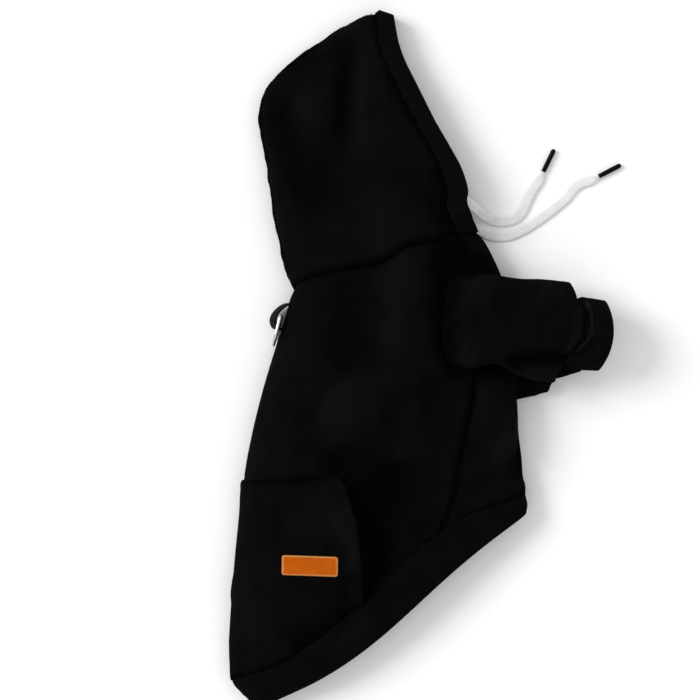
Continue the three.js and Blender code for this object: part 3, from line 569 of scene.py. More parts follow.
def tube_faces(rows: int, sides: int, closed: bool = False) -> list:
    """Return the faces of a tube of rings, with a fan at each end unless it closes on itself.

    Args:
        rows: the number of rings.
        sides: the points of each ring.
        closed: whether the last ring meets the first.

    Returns:
        Tuples of point numbers, of which the two past the rings are the fans' middles.
    """
    ring = np.arange(rows * sides).reshape(rows, sides)
    after = np.roll(ring, -1, axis=1)
    quads = np.stack([ring, after, np.roll(after, -1, axis=0), np.roll(ring, -1, axis=0)], -1)
    faces = quads[: rows if closed else rows - 1].reshape(-1, 4).tolist()
    if not closed:
        faces += [(rows * sides, b, a) for a, b in zip(ring[0].tolist(), after[0].tolist())]
        faces += [(rows * sides + 1, a, b) for a, b in zip(ring[-1].tolist(), after[-1].tolist())]
    return faces


def tube_places(across: Array, run: Array, ends: Sequence[Sequence[float]]) -> Array:
    """Return across and along for each point of a tube's rings, and for the middles of its two ends."""
    place = np.stack(np.broadcast_arrays(across[None, :], run[:, None]), -1).reshape(-1, 2)
    return np.concatenate([place, ends])


def solid_object(name: str, rings: Array, finish: Material | None = None) -> Piece:
    """Make a closed body through rings of points, whose two ends are fans round their middles.

    Args:
        name: its name.
        rings: the rings, rows by sides.
        finish: its material, unless it only serves to cut others.

    Returns:
        The body, whose last two points are the middles of its first and last ring.
    """
    points = np.concatenate([rings.reshape(-1, 3), [rings[0].mean(axis=0)], [rings[-1].mean(axis=0)]])
    return mesh_object(name, points, tube_faces(*rings.shape[:2]), finish)


def keep_result(piece: Piece, modifier: bpy.types.Modifier) -> bpy.types.Mesh:
    """Make what a modifier shows the piece's own mesh, and take the modifier off it."""
    dg = bpy.context.evaluated_depsgraph_get()
    made = bpy.data.meshes.new_from_object(
        piece.evaluated_get(dg), preserve_all_data_layers=True, depsgraph=dg
    )
    piece.modifiers.remove(modifier)
    old, piece.data = piece.data, made
    bpy.data.meshes.remove(old)
    made.name = piece.name
    made.polygons.foreach_set("use_smooth", np.ones(len(made.polygons), bool))
    return made


def cut(piece: Piece, tool: Piece) -> None:
    """Take another body's shape away from a piece, which keeps its one material.

    Args:
        piece: the piece that is cut.
        tool: the body that cuts it, which stays as it is.
    """
    modifier = piece.modifiers.new("cut", "BOOLEAN")
    modifier.operation, modifier.solver, modifier.object = "DIFFERENCE", "MANIFOLD", tool
    finish = piece.data.materials[0]
    made = keep_result(piece, modifier)
    made.materials.clear()
    made.materials.append(finish)
    made.polygons.foreach_set("material_index", np.zeros(len(made.polygons), np.int32))


def remove(piece: Piece) -> None:
    """Delete an object that only served to cut others."""
    mesh = piece.data
    bpy.data.objects.remove(piece)
    bpy.data.meshes.remove(mesh)


def area_of(panel: Panel) -> float:
    """Return the area of a panel's outer face in square metres."""
    p = panel.base
    a, b = p[1:, :-1] - p[:-1, :-1], p[:-1, 1:] - p[:-1, :-1]
    c, d = p[1:, :-1] - p[1:, 1:], p[:-1, 1:] - p[1:, 1:]
    total = np.linalg.norm(np.cross(a, b), axis=-1).sum() + np.linalg.norm(np.cross(c, d), axis=-1).sum()
    if panel.loop:
        total *= 1 + 1 / (p.shape[1] - 1)
    return float(total) / 2 * MM * MM


# The coat

COAT_TABLE = {  # sections from neck seam to hem seam, in shares of the chest's width and the body's length
    "t": (0, 0.06, 0.14, 0.24, 0.36, 0.48, 0.6, 0.7, 0.8, 0.88, 0.95, 1),
    "back_x": (0, -0.014, -0.042, -0.08, -0.118, -0.156, -0.187, -0.196, -0.213, -0.228, -0.237, -0.233),
    "back_y": (0, 0.036, 0.098, 0.175, 0.26, 0.361, 0.469, 0.567, 0.68, 0.799, 0.91, 1),
    "belly_x": (0.735, 0.785, 0.83, 0.856, 0.875, 0.883, 0.888, 0.894, 0.905, 0.909, 0.917, 0.921),
    "belly_y": (-0.155, -0.1, -0.031, 0.059, 0.155, 0.253, 0.317, 0.371, 0.428, 0.469, 0.5, 0.526),
    "bow": (-0.012, -0.01, -0.006, 0, 0, 0, 0, 0, 0, 0, -0.004, -0.007),
    "wave": (0, 0, 0, 0, 0, 0, 0, 0.005, 0.015, 0.03, 0.046, 0.055),
    "loft": (0.8, 0.86, 0.93, 0.98, 1, 0.98, 0.93, 0.86, 0.78, 0.7, 0.63, 0.58),
}
SIDE_SEAM_TABLE = {
    "t": (0, 0.36, 0.43, 0.53, 0.66, 0.77, 0.9, 1),
    "share": (0.88, 0.858, 0.838, 0.82, 0.797, 0.777, 0.765, 0.735),
}
NECK_SEAM_TABLE = {  # how the neck seam wanders on the upper side, in shares of the chest's width
    "share": (0, 0.05, 0.12, 0.215, 0.33, 0.42, 0.53, 0.61, 0.7, 0.8, 0.89, 1),
    "rise": (0, 0.024, 0.027, 0.021, 0.008, -0.003, 0.001, 0.022, 0.018, 0.01, 0.014, 0),
}


@dataclass
class Coat:
    """The body of the hoodie: back panel, belly panel and hem band."""

    length: float = 341.0
    width: float = 223.0
    loft: float = 48.0
    chest_rise: float = 9.5
    pocket_standoff: float = 0.5
    hem_width: float = 32.5
    hem_thickness: float = 5.0
    hem_sink: float = 0.4  # how far the band's cloth is pressed in
    hem_edge: tuple[float, ...] = (0.71, 0.74, -0.054, 0.56, 0.045, 0.023, 0.54)  # in the order of COAT_TABLE
    rows: int = 150
    back_columns: int = 210
    belly_columns: int = 96
    hem_rows: int = 30
    hem_columns: int = 330

    # Each fold also paints shade in its crease and a highlight on its ridge; the armhole's groove and the fold
    # beside the pocket's mouth carry strong painted shade.
    back_folds = (
        Fold(((54, 20), (52, -8), (50, -40), (56, -78)), -3.6, 14.0, painted_relief_strength=1.3),
        Fold(((98, 34), (98, 4), (94, -30), (86, -62)), 3.0, 11.0, painted_relief_strength=1.5),
        Fold(((112, 30), (118, 8), (114, -24), (104, -60)), -1.6, 9.0),
        Fold(((30, -88), (48, -104), (66, -124)), 3.4, 20.0, painted_relief_strength=1.2),
        Fold(((8, -96), (20, -124), (16, -150)), -2.4, 11.0),
        Fold(((92, -78), (90, -106), (96, -138)), -2.4, 9.0),
        Fold(((108, -90), (104, -120), (98, -150)), 2.0, 7.0),
        Fold(((128, -66), (122, -100), (124, -128)), -2.8, 9.0),
        Fold(((20, -142), (44, -150), (80, -160), (110, -182)), -3.6, 14.0, painted_relief_strength=1.5),
        Fold(((46, -168), (58, -186), (69, -210), (74, -240), (70, -278)), -5.5, 10.0, 2.0, 0.15, 1.8),
        Fold(((84, -150), (100, -180), (90, -216)), -2.0, 11.0),
        Fold(((104, -196), (116, -208), (108, -226)), -1.8, 9.0),
        Fold(((-8, -16), (-14, -40), (-20, -70)), 1.2, 5.0),
        Fold(
            ((131, 30), (134, 16), (133, -8), (131, -30), (135, -50), (146, -66), (158, -70)),
            -6.0, 6.0, 2.0, 0.12, 2.6, 0.5,
        ),
        Fold(((118, 36), (140, 30), (166, 22), (184, 16)), -3.4, 9.0, 2.0, 0.2, 2.2),
    )
    belly_folds = (
        Fold(((198, -100), (190, -122), (184, -142), (176, -160)), 4.6, 4.2, 1.6, 0.3, 2.0),
        Fold(((172, -80), (170, -104), (162, -136)), 2.0, 9.0),
        Fold(((204, -108), (202, -140), (200, -168)), -3.4, 5.0, painted_relief_strength=1.5),
        Fold(((160, -92), (163, -128), (160, -150)), -1.2, 6.0),
        Fold(((160, -62), (180, -62), (202, -64)), -4.0, 6.0, 2.0, 0.1, 2.2),
        Fold(((140, 28), (166, 20), (184, 14)), -2.6, 9.0, 2.0, 0.2, 2.4),
    )
    hem_folds = (
        Fold(((74, -268), (86, -248)), -1.6, 5.0),
        Fold(((104, -232), (112, -224)), -1.2, 4.0),
        Fold(((138, -196), (148, -190)), 1.1, 4.0),
        Fold(((96, -240), (112, -226), (128, -214)), -1.0, 12.0, painted_relief_strength=1.6),
        Fold(((-30, -344), (-10, -346), (10, -334)), -1.4, 12.0, painted_relief_strength=1.6),
        Fold(((40, -312), (56, -296), (72, -284)), 1.2, 7.0, painted_relief_strength=0.4),
    )

    def section(self, t: Array) -> dict[str, Array]:
        """Return the folds' places, bends and loft of the sections at t.

        Args:
            t: 0 at the neck seam, 1 at the hem seam and 2 at the hem's free edge.

        Returns:
            back, belly (X and Y), bow, wave and loft, in millimetres.
        """
        within, hem = np.minimum(t, 1.0), np.maximum(t - 1.0, 0.0)
        value = {name: column(COAT_TABLE, "t", name, within) for name in COAT_TABLE if name != "t"}
        edge = dict(zip(value, self.hem_edge))
        made = {
            name: (value[name] + (edge[name] - value[name]) * hem) * size
            for name, size in (("bow", self.width), ("wave", self.width), ("loft", self.loft))
        }
        for name in ("back", "belly"):
            x, y = f"{name}_x", f"{name}_y"
            made[name] = np.stack([
                value[x] * self.width + edge[x] * self.hem_width * hem,
                -value[y] * self.length - edge[y] * self.hem_width * hem,
            ], -1)
        return made

    def lifted(self, t: Array, share: Array) -> Array:
        """Return how far the sleeve under the chest and the pocket under the back lift the coat."""
        along = smooth(0.14, 0.26, t) * (1 - smooth(0.54, 0.68, t))
        pocket = (CLOTH + self.pocket_standoff) * smooth(0.5, 0.6, t)
        return self.chest_rise * along * smooth(0.44, 0.63, share) + pocket

    def neck_rise(self, share: Array) -> Array:
        """Return how far the neck seam is pulled towards the hood on the upper side, at shares of its run."""
        return self.width * column(NECK_SEAM_TABLE, "share", "rise", np.clip(share, 0, 1))

    def point(self, t: Array, angle: Array, inset: Array | float) -> Array:
        """Return points of the coat's surface, moved in by inset.

        Args:
            t: the section, as in section().
            angle: from the back fold, 0, over the upper side to the belly fold, pi, and back underneath.
            inset: how far inside the surface they lie.

        Returns:
            The points.
        """
        t, angle = np.broadcast_arrays(np.asarray(t, float), np.asarray(angle, float))
        s = self.section(t)
        line = s["belly"] - s["back"]
        length = np.linalg.norm(line, axis=-1)
        ahead = line / length[..., None]
        share = (1 - np.cos(angle)) / 2
        bend = s["bow"] * np.sin(np.pi * share) + s["wave"] * np.sin(2 * np.pi * share)
        bend = bend - np.where(np.sin(angle) > 0, self.neck_rise(share), 0.0) * (1 - smooth(0, 0.14, t))
        reach = -np.cos(angle) * (length / 2 - inset)
        middle = (s["back"] + s["belly"]) / 2
        raised = self.lifted(np.minimum(t, 1.0), share)
        level = EDGE_HEIGHT + raised * smooth(0.44, 0.63, share)
        upper = level + (s["loft"] - level - inset) * fullness(angle, TOP_FULLNESS)
        lower = level - (level - raised - inset) * fullness(angle, FLOOR_FULLNESS)
        return beside(middle, ahead, reach, bend, np.where(np.sin(angle) >= 0, upper, lower))

    def seam_angle(self, t: Array) -> Array:
        """Return the angle round each section at which the side seam crosses it."""
        return angle_of(column(SIDE_SEAM_TABLE, "t", "share", np.clip(t, 0, 1)))

    def _panel(self, name: str, belly: bool, seed: int) -> Panel:
        """Return the back or the belly panel, from side seam to side seam."""
        over = JOIN / self.length
        t = spread(self.rows, -over, 1 + over, 0.7)[:, None]
        side = self.seam_angle(t)
        s = self.section(t)
        turn = -JOIN / (np.linalg.norm(s["belly"] - s["back"], axis=-1) * np.sin(side))
        if belly:
            u = spread(self.belly_columns, 0, 1, 0.7)[None, :]
            angle = (side + turn) + (2 * np.pi - 2 * (side + turn)) * u
        else:
            u = spread(self.back_columns, -1, 1, 0.7)[None, :]
            angle = (side - turn) * u
        return Panel(name, self.point(t, angle, 0.0), self.point(t, angle, CLOTH), seed=seed)

    def back_panel(self, above: Sequence[Fold] = ()) -> Panel:
        """Return the back panel with its folds and those of the cloth that lies on it."""
        made = self._panel("back_cloth", False, 11)
        made.fold(self.back_folds)
        made.fold([one for one in above if one.height < 0])
        self.unevenness(made)
        return made

    def unevenness(self, cloth: Panel) -> None:
        """Give the back, or a cloth on it, the same soft unevenness."""
        cloth.sway(1.5, 44.0, 3)
        cloth.sway(0.5, 17.0, 4)

    def belly_panel(self) -> Panel:
        """Return the belly panel with its folds."""
        made = self._panel("belly_cloth", True, 23)
        made.fold(self.belly_folds)
        made.sway(1.0, 32.0, 5)
        made.sway(0.4, 14.0, 6)
        return made

    def hem_panel(self) -> Panel:
        """Return the hem band, folded double and rounded at its free edge."""
        t = spread(self.hem_rows, 1 - JOIN / self.hem_width, 2, 0.6)[:, None]
        angle = around(self.hem_columns)[None, :]
        proud = CLOTH + self.pocket_standoff
        made = Panel(
            "hem_cloth", self.point(t, angle, -proud + self.hem_sink), self.point(t, angle, 0.0),
            end=Edge.FREE, loop=True, wall=self.hem_thickness - self.hem_sink, seed=31,
            seam_dip=2.4, seam_reach=4.4, pucker=0.7, pucker_reach=16.0,
        )
        made.fold(self.hem_folds)
        made.sway(0.35, 22.0, 9)
        return made

    def filled(self, back: Panel, belly: Panel, margin: float) -> Piece:
        """Return the coat as one closed body, grown by a margin, to cut what meets it."""
        rings = np.concatenate([back.outer(margin), belly.outer(margin)], axis=1)
        return solid_object("coat_cutter", rings)


# The pocket and its patch


@dataclass
class Pocket:
    """The wide pocket across the back, open at both sides, and the plain leather patch on it."""

    coat: Coat
    fold_top: float = 0.615
    side_top: float = 0.66
    share_top: float = 0.355
    share_foot: float = 0.44
    gape: float = 10.0
    opening_bow: float = 0.03
    rows: int = 120
    columns: int = 190
    patch_length: float = 49.0
    patch_height: float = 17.6
    patch_thickness: float = 1.6
    patch_corner: float = 2.2
    patch_turn: float = -1.2  # degrees
    patch_across: float = 0.0724
    patch_down: float = 0.7

    folds = (
        Fold(((34, -184), (50, -206), (57, -226), (58, -250)), 3.4, 8.0, painted_relief_strength=1.2),
        Fold(((10, -178), (-10, -204), (-14, -236)), -1.8, 13.0),
        Fold(((24, -221), (42, -224), (54, -230)), -2.6, 6.0),
        Fold(((50, -240), (50, -256), (44, -272)), -2.4, 6.0),
        Fold(((-6, -254), (20, -256), (46, -258)), -1.6, 6.0),
        Fold(((2, -322), (26, -308), (48, -292), (64, -274)), -4.5, 13.0, 2.0, 0.15, 1.8),
        Fold(((-34, -236), (-38, -276), (-36, -310)), 1.6, 12.0),
        Fold(((-6, -200), (12, -196), (28, -200)), 1.6, 9.0),
        Fold(((-2, -162), (12, -170), (24, -166)), -1.4, 5.0),
    )

    def point(self, down: Array, across: Array, height: float) -> Array:
        """Return points of the pocket.

        Args:
            down: 0 at the top seam and 1 at the hem seam.
            across: from -1 over the back fold to 1 at the upper hand opening.
            height: how far above the pocket's inner face they lie.

        Returns:
            The points.
        """
        down, across = np.broadcast_arrays(np.asarray(down, float), np.asarray(across, float))
        side = np.abs(across)
        foot = 1 - SEAM_GAP / self.coat.length
        share = side * (self.share_top + (self.share_foot - self.share_top) * down)
        opening = np.where(across > 0, side**2, 0.0)
        share = share + self.opening_bow * opening * np.sin(np.pi * down) ** 0.9
        top = self.fold_top + (self.side_top - self.fold_top) * side
        t = top + (foot - top) * down
        bulge = self.gape * opening * np.sin(np.pi * down) ** 0.8
        inset = -(self.coat.pocket_standoff + bulge + height)
        return self.coat.point(t, np.sign(across) * angle_of(share), inset)

    def panel(self) -> Panel:
        """Return the pocket's cloth."""
        down = spread(self.rows, 0, 0.9995, 0.7)[:, None]
        u = spread(self.columns, -1, 1, 0.7)
        across = (u * np.abs(u) ** 0.55)[None, :]
        made = Panel(
            "pocket_cloth", self.point(down, across, CLOTH), self.point(down, across, 0.0), left=Edge.FREE,
            right=Edge.FREE, seed=41, seam_dip=1.1, pucker=0.55, pucker_reach=12.0,
        )
        made.fold(self.folds)
        self.coat.unevenness(made)
        return made

    def patch(self, cloth: Panel) -> tuple[Array, list, Array]:
        """Return the patch's mesh: a stiff plate with rounded corners that bends with the pocket under it.

        Args:
            cloth: the pocket's panel, on which it lies.

        Returns:
            Its points, its faces, and each point's distance from the patch's edge.
        """
        face = cloth.outer()
        grid = wall_faces(*face.shape[:2])[: (face.shape[0] - 1) * (face.shape[1] - 1)]
        tree = BVHTree.FromPolygons(face.reshape(-1, 3).tolist(), grid)
        cosine, sine = math.cos(math.radians(self.patch_turn)), math.sin(math.radians(self.patch_turn))
        middle = np.array([self.patch_across * self.coat.width, -self.patch_down * self.coat.length])
        half = np.array([self.patch_length / 2, self.patch_height / 2])
        count = 180

        def outline(inset: float) -> Array:
            """Return even places on the patch's outline, moved in by inset, round its middle."""
            radius, shrink = max(self.patch_corner - inset, 0.0), max(inset - self.patch_corner, 0.0)
            angle = np.radians(np.arange(0, 360, 90)[:, None] + np.linspace(0, 90, 22))
            corners = np.array([(1, 1), (-1, 1), (-1, -1), (1, -1)])[:, None] * (
                half - self.patch_corner - shrink
            )
            line = (corners + radius * np.stack([np.cos(angle), np.sin(angle)], -1)).reshape(-1, 2)
            closed = np.concatenate([line, line[:1]])
            run = run_of(closed)
            even = np.linspace(0, run[-1], count, endpoint=False)
            return np.stack([np.interp(even, run, closed[:, k]) for k in range(2)], -1)

        def turned(points: Array) -> Array:
            """Return places on the patch, turned as it lies."""
            return points @ np.array([[cosine, sine], [-sine, cosine]])

        def terms(p: Array) -> Array:
            """Return the terms of a curved surface of the second degree."""
            x, y = p[:, 0], p[:, 1]
            return np.stack([np.ones(len(p)), x, y, x**2, x * y, y**2], -1)

        span_x, span_y = np.meshgrid(np.linspace(-half[0], half[0], 15), np.linspace(-half[1], half[1], 7))
        flat = turned(np.stack([span_x.ravel(), span_y.ravel()], -1))
        down = Vector((0, 0, -1))
        heights = np.array([tree.ray_cast(Vector((x, y, 120.0)), down)[0].z for x, y in flat + middle])
        fit, *_ = np.linalg.lstsq(terms(flat), heights, rcond=None)
        lift = float(np.clip(np.percentile(heights - terms(flat) @ fit, 85), 0.15, 0.9))

        def level(points: Array, height: float) -> Array:
            """Return places from the nape at a height over the cloth, for places on the patch."""
            where = turned(points)
            return np.concatenate([where + middle, (terms(where) @ fit + lift + height)[:, None]], axis=1)

        rings, away = [], []
        for inset, height in ((0.0, 0.0), (0.0, 0.55), (0.12, 0.95), (0.4, 1.25), (0.8, 1.42), (1.5, 1.5)):
            rings.append(level(outline(inset), self.patch_thickness * height / 1.5))
            away.append(np.full(count, inset))
        for share in (0.86, 0.7, 0.5, 0.3, 0.12):
            rings.append(level(outline(1.5) * share, self.patch_thickness))
            away.append(np.full(count, 1.5 + (1 - share) * half[1]))
        ends = [level(np.zeros((1, 2)), height) for height in (0.0, self.patch_thickness)]
        return (
            np.concatenate([*rings, *ends]),
            tube_faces(len(rings), count),
            np.concatenate([*away, half[[1, 1]]]),
        )


# The hood

HOOD_TABLE = {  # sections above the neck seam, in shares of the hood's depth, height and loft
    "h": (0.08, 0.17, 0.28, 0.4, 0.51, 0.62, 0.73, 0.83, 0.91, 0.96, 1),
    "back_x": (-0.036, -0.067, -0.103, -0.133, -0.167, -0.176, -0.126, 0, 0.169, 0.32, 0.446),
    "back_y": (0.071, 0.164, 0.292, 0.427, 0.548, 0.641, 0.735, 0.833, 0.911, 0.973, 1.003),
    "face_x": (0.918, 0.892, 0.897, 0.862, 0.804, 0.724, 0.643, 0.582, 0.549, 0.535, 0.521),
    "face_y": (0.27, 0.317, 0.363, 0.441, 0.516, 0.614, 0.728, 0.815, 0.879, 0.925, 0.985),
    "loft": (1.05, 1, 0.98, 0.96, 0.94, 0.9, 0.84, 0.76, 0.68, 0.62, 0.56),
    "edge": (1, 0.97, 0.93, 0.88, 0.84, 0.8, 0.76, 0.72, 0.69, 0.67, 0.66),
}


@dataclass
class Hood:
    """The hood: a right and a left half, each with a casing round the face opening."""

    coat: Coat
    height: float = 247.0
    depth: float = 172.0
    loft: float = 34.0
    casing_width: float = 18.0
    casing_thickness: float = 8.4
    casing_corner: float = 2.2
    casing_ease: float = 0.9  # how far its seam edge is drawn in
    casing_roll: float = 1.4  # how unevenly its upper side stands
    casing_crimp: float = 0.35  # how far its seam edge is puckered
    throat_space: float = 5.0
    face_dip: float = 0.14
    rim_width: float = 6.5
    rim_groove: float = 1.1
    rows: int = 140
    columns: int = 120
    casing_rows: int = 190

    folds = (
        Fold(((51, 228), (50, 200), (48, 160), (42, 118)), -4.2, 8.0, painted_relief_strength=1.3),
        Fold(((44, 230), (20, 214), (2, 196), (-8, 180)), -2.6, 9.0, painted_relief_strength=1.4),
        Fold(((66, 232), (64, 190), (63, 150), (72, 108)), 3.8, 10.0, 2.0, 0.35, 1.2),
        Fold(((16, 184), (16, 158), (20, 136)), 2.8, 10.0, 2.0, 0.35, 1.2),
        Fold(((-8, 186), (-6, 150), (2, 118), (14, 84), (24, 56)), -3.4, 10.0, painted_relief_strength=1.3),
        Fold(((28, 130), (32, 100), (30, 70)), -2.2, 11.0),
        Fold(((92, 108), (100, 104), (104, 92), (98, 66)), -1.4, 6.0),
        Fold(((74, 96), (84, 60), (72, 30)), 2.4, 16.0),
        Fold(((128, 112), (132, 88), (138, 62), (146, 52)), -3.0, 9.0, 2.0, 0.2, 1.6),
        Fold(((-18, 130), (-12, 76), (-2, 30)), 1.2, 5.0),
        Fold(((80, 196), (88, 182), (98, 168), (112, 152), (126, 140)), -1.5, 5.0, 2.0, 0.2, 1.8),
    )

    def section(self, h: Array) -> dict[str, Array]:
        """Return the hood's sections at h, from the centre seam to the face edge.

        Args:
            h: 0 at the neck seam and 1 at the peak.

        Returns:
            back and face (X and Y), loft, edge and bow, in millimetres.
        """
        neck = {name: value[0] for name, value in self.coat.section(np.zeros(1)).items()}
        sizes = {  # what each column is a share of, and its value at the neck
            "back_x": (self.depth, neck["back"][0]), "back_y": (self.height, neck["back"][1]),
            "face_x": (self.depth, neck["belly"][0]), "face_y": (self.height, neck["belly"][1]),
            "loft": (self.loft, neck["loft"]), "edge": (EDGE_HEIGHT, EDGE_HEIGHT),
        }
        table = {
            name: (first, *(v * size for v in HOOD_TABLE[name])) for name, (size, first) in sizes.items()
        }
        table["h"] = (0.0, *HOOD_TABLE["h"])
        value = {name: column(table, "h", name, h) for name in sizes}
        return {
            "back": np.stack([value["back_x"], value["back_y"]], -1),
            "face": np.stack([value["face_x"], value["face_y"]], -1),
            "loft": value["loft"], "edge": value["edge"], "bow": neck["bow"] * (1 - smooth(0, 0.1, h)),
        }

    def span(self, h: Array) -> Array:
        """Return the length of each section from the centre seam to the face edge."""
        s = self.section(h)
        return np.linalg.norm(s["face"] - s["back"], axis=-1)

    def point(self, h: Array, share: Array, upper: bool, inset: float = 0.0) -> Array:
        """Return points of one half of the hood.

        Args:
            h: the section, as in section().
            share: 0 at the centre seam and 1 at the face edge.
            upper: True for the right half, which lies on the left one.
            inset: how far inside the surface they lie.

        Returns:
            The points.
        """
        h, share = np.broadcast_arrays(np.asarray(h, float), np.asarray(share, float))
        s = self.section(h)
        line = s["face"] - s["back"]
        length = np.linalg.norm(line, axis=-1)
        ahead = line / length[..., None]
        bend = s["bow"] * np.sin(np.pi * share)
        if upper:
            bend = bend - self.coat.neck_rise(share) * (1 - smooth(0, 0.14, h))
        reach = length * share + inset * (1 - share)
        closed = fullness(angle_of(share), TOP_FULLNESS)
        dip = 1 - self.face_dip * smooth(0.6, 1, share)
        opened = fullness(angle_of(np.minimum(share, 0.5)), TOP_FULLNESS) * dip
        rise = closed + (opened - closed) * smooth(0, 0.12, h)
        least = 2 * self.casing_thickness + self.throat_space * smooth(0, 0.3, 1 - h)
        top = np.maximum(s["edge"] + (s["loft"] - s["edge"]) * rise, least * smooth(0.55, 0.97, share))
        if upper:
            z = np.maximum(top - inset, s["edge"] + SEAM_GAP / 2)
        else:
            low = s["edge"] - SEAM_GAP / 2
            z = low - (low - inset) * fullness(angle_of(share / 2), FLOOR_FULLNESS)
        return beside(s["back"], ahead, reach, bend, z)

    def panel_end(self) -> float:
        """Return the height at which the narrowing hood is hardly wider than its casing."""
        h = 1.0
        while self.span(np.array([h]))[0] < self.casing_width * 1.12:
            h -= 0.002
        return h

    def panel(self, side: Side) -> Panel:
        """Return one half of the hood."""
        upper = side is Side.RIGHT
        h = spread(self.rows, -JOIN / self.height, self.panel_end(), 0.75)[:, None]
        end = 1 - (self.casing_width - JOIN) / self.span(h)
        u = spread(self.columns, 0, 1, 0.8)[None, :]
        share = end * u**1.35
        made = Panel(
            f"hood_cloth_{side}", self.point(h, share, upper), self.point(h, share, upper, CLOTH),
            end=Edge.PLAIN, seed=53 if upper else 59, seam_dip=1.4, pucker=0.5, pucker_reach=11.0,
        )
        if upper:
            rim = -self.rim_groove * np.exp(-(((made.away["left"] - self.rim_width) / 2.2) ** 2))
            rim = rim * smooth(0.05, 0.2, h)
            made.raise_cloth(rim)
            # painted shade along the rim's groove, three times as strong as its depth
            made.relief += 3 * rim
            made.fold(self.folds)
            made.sway(1.2, 38.0, 17)
            made.sway(0.4, 15.0, 18)
        return made

    def casing(self, side: Side) -> tuple[Panel, Array]:
        """Return one casing as a flat tube round the cord's channel, and its inner face."""
        upper = side is Side.RIGHT
        even = np.linspace(-JOIN / self.height, self.panel_end(), self.casing_rows)
        h = np.unique(np.minimum([*even, 0.985, 1.0], 1.0))
        span = self.span(h)
        start = np.maximum(1 - self.casing_width / span, SEAM_GAP / span)
        first, last = self.point(h, start, upper), self.point(h, np.ones_like(h), upper)
        if upper:
            least = 2 * self.casing_thickness + SEAM_GAP
            first[:, 2], last[:, 2] = np.maximum(first[:, 2], least), np.maximum(last[:, 2], least)
        else:
            first[:, 2] = last[:, 2]
        way = last - first
        width = np.hypot(way[:, 0], way[:, 1])
        roll = self.casing_roll * ripple(first, 60.0, 71) * smooth(0.03, 0.2, h) * (1 - smooth(0.8, 1, h))

        def ring(inset: float) -> Array:
            """Return the tube's rings, moved in by inset: a flat section with a rounded face edge."""
            corner = max(self.casing_corner + self.casing_ease - inset, 0.4)
            round_start = width - inset - corner
            ease = 0.0 if inset else self.casing_ease
            section = [
                (inset + (round_start - inset) * u, inset + ease * math.exp(-((u * 13 / 1.4) ** 2)))
                for u in np.linspace(0, 1, 14)
            ]
            section += [
                (round_start + corner * math.sin(a), inset + corner * (1 - math.cos(a)))
                for a in np.linspace(0, np.pi / 2, 9)[1:]
            ]
            section += [(across, self.casing_thickness - depth) for across, depth in section[::-1]]
            share = np.stack([across for across, _ in section], 1) / width[:, None]
            place = first[:, None] + way[:, None] * share[..., None]
            place[..., 2] += (-1.0 if upper else 1.0) * np.array([depth for _, depth in section])
            if upper:
                place[..., 2] += (np.abs(roll) * 0.5)[:, None] * share
            return place

        outer, inner = ring(0.0), ring(CLOTH)
        made = Panel(
            f"casing_cloth_{side}", outer, inner, start=Edge.PLAIN, end=Edge.PLAIN, loop=True,
            seed=61 if upper else 67,
        )
        crimp = ripple(outer, 9.0, 73) * self.casing_crimp
        share = np.linalg.norm((outer - first[:, None])[..., :2], axis=-1) / width[:, None]
        made.lift += crimp * np.exp(-share * 4.0) if upper else 0.0
        return made, inner


# Sleeves and cuffs

SLEEVE_RIGHT_TABLE = {
    "along": (0, 0.03, 0.1, 0.21, 0.32, 0.39, 0.47, 0.56, 0.71, 1),
    "width": (0.3, 0.64, 0.89, 0.99, 1.02, 1.01, 1, 1, 1.04, 1.04),
    "low": (0.76, 0.62, 0.47, 0.38, 0.42, 0.64, 0.62, 0.44, 0.17, 0.03),
    "high": (0.92, 1.06, 1.23, 1.31, 1.29, 1.26, 1.22, 1.14, 1.02, 0.91),
}
SLEEVE_LEFT_TABLE = {
    "along": (0, 0.03, 0.1, 0.19, 0.31, 0.39, 0.47, 0.61, 0.73, 0.84, 1),
    "width": (0.3, 0.62, 0.88, 0.98, 1, 0.99, 0.98, 0.98, 1, 1, 0.98),
    "low": (0.85, 0.5, 0.12, 0, 0, 0, 0, 0, 0, 0, 0),
    "rise": (1.2, 1.5, 1.7, 1.75, 1.6, 0.92, 0.9, 0.9, 0, 0, 0),
    "loft": (0, 0, 0, 0, 0, 0, 0, 0, 0.78, 0.95, 1),
}


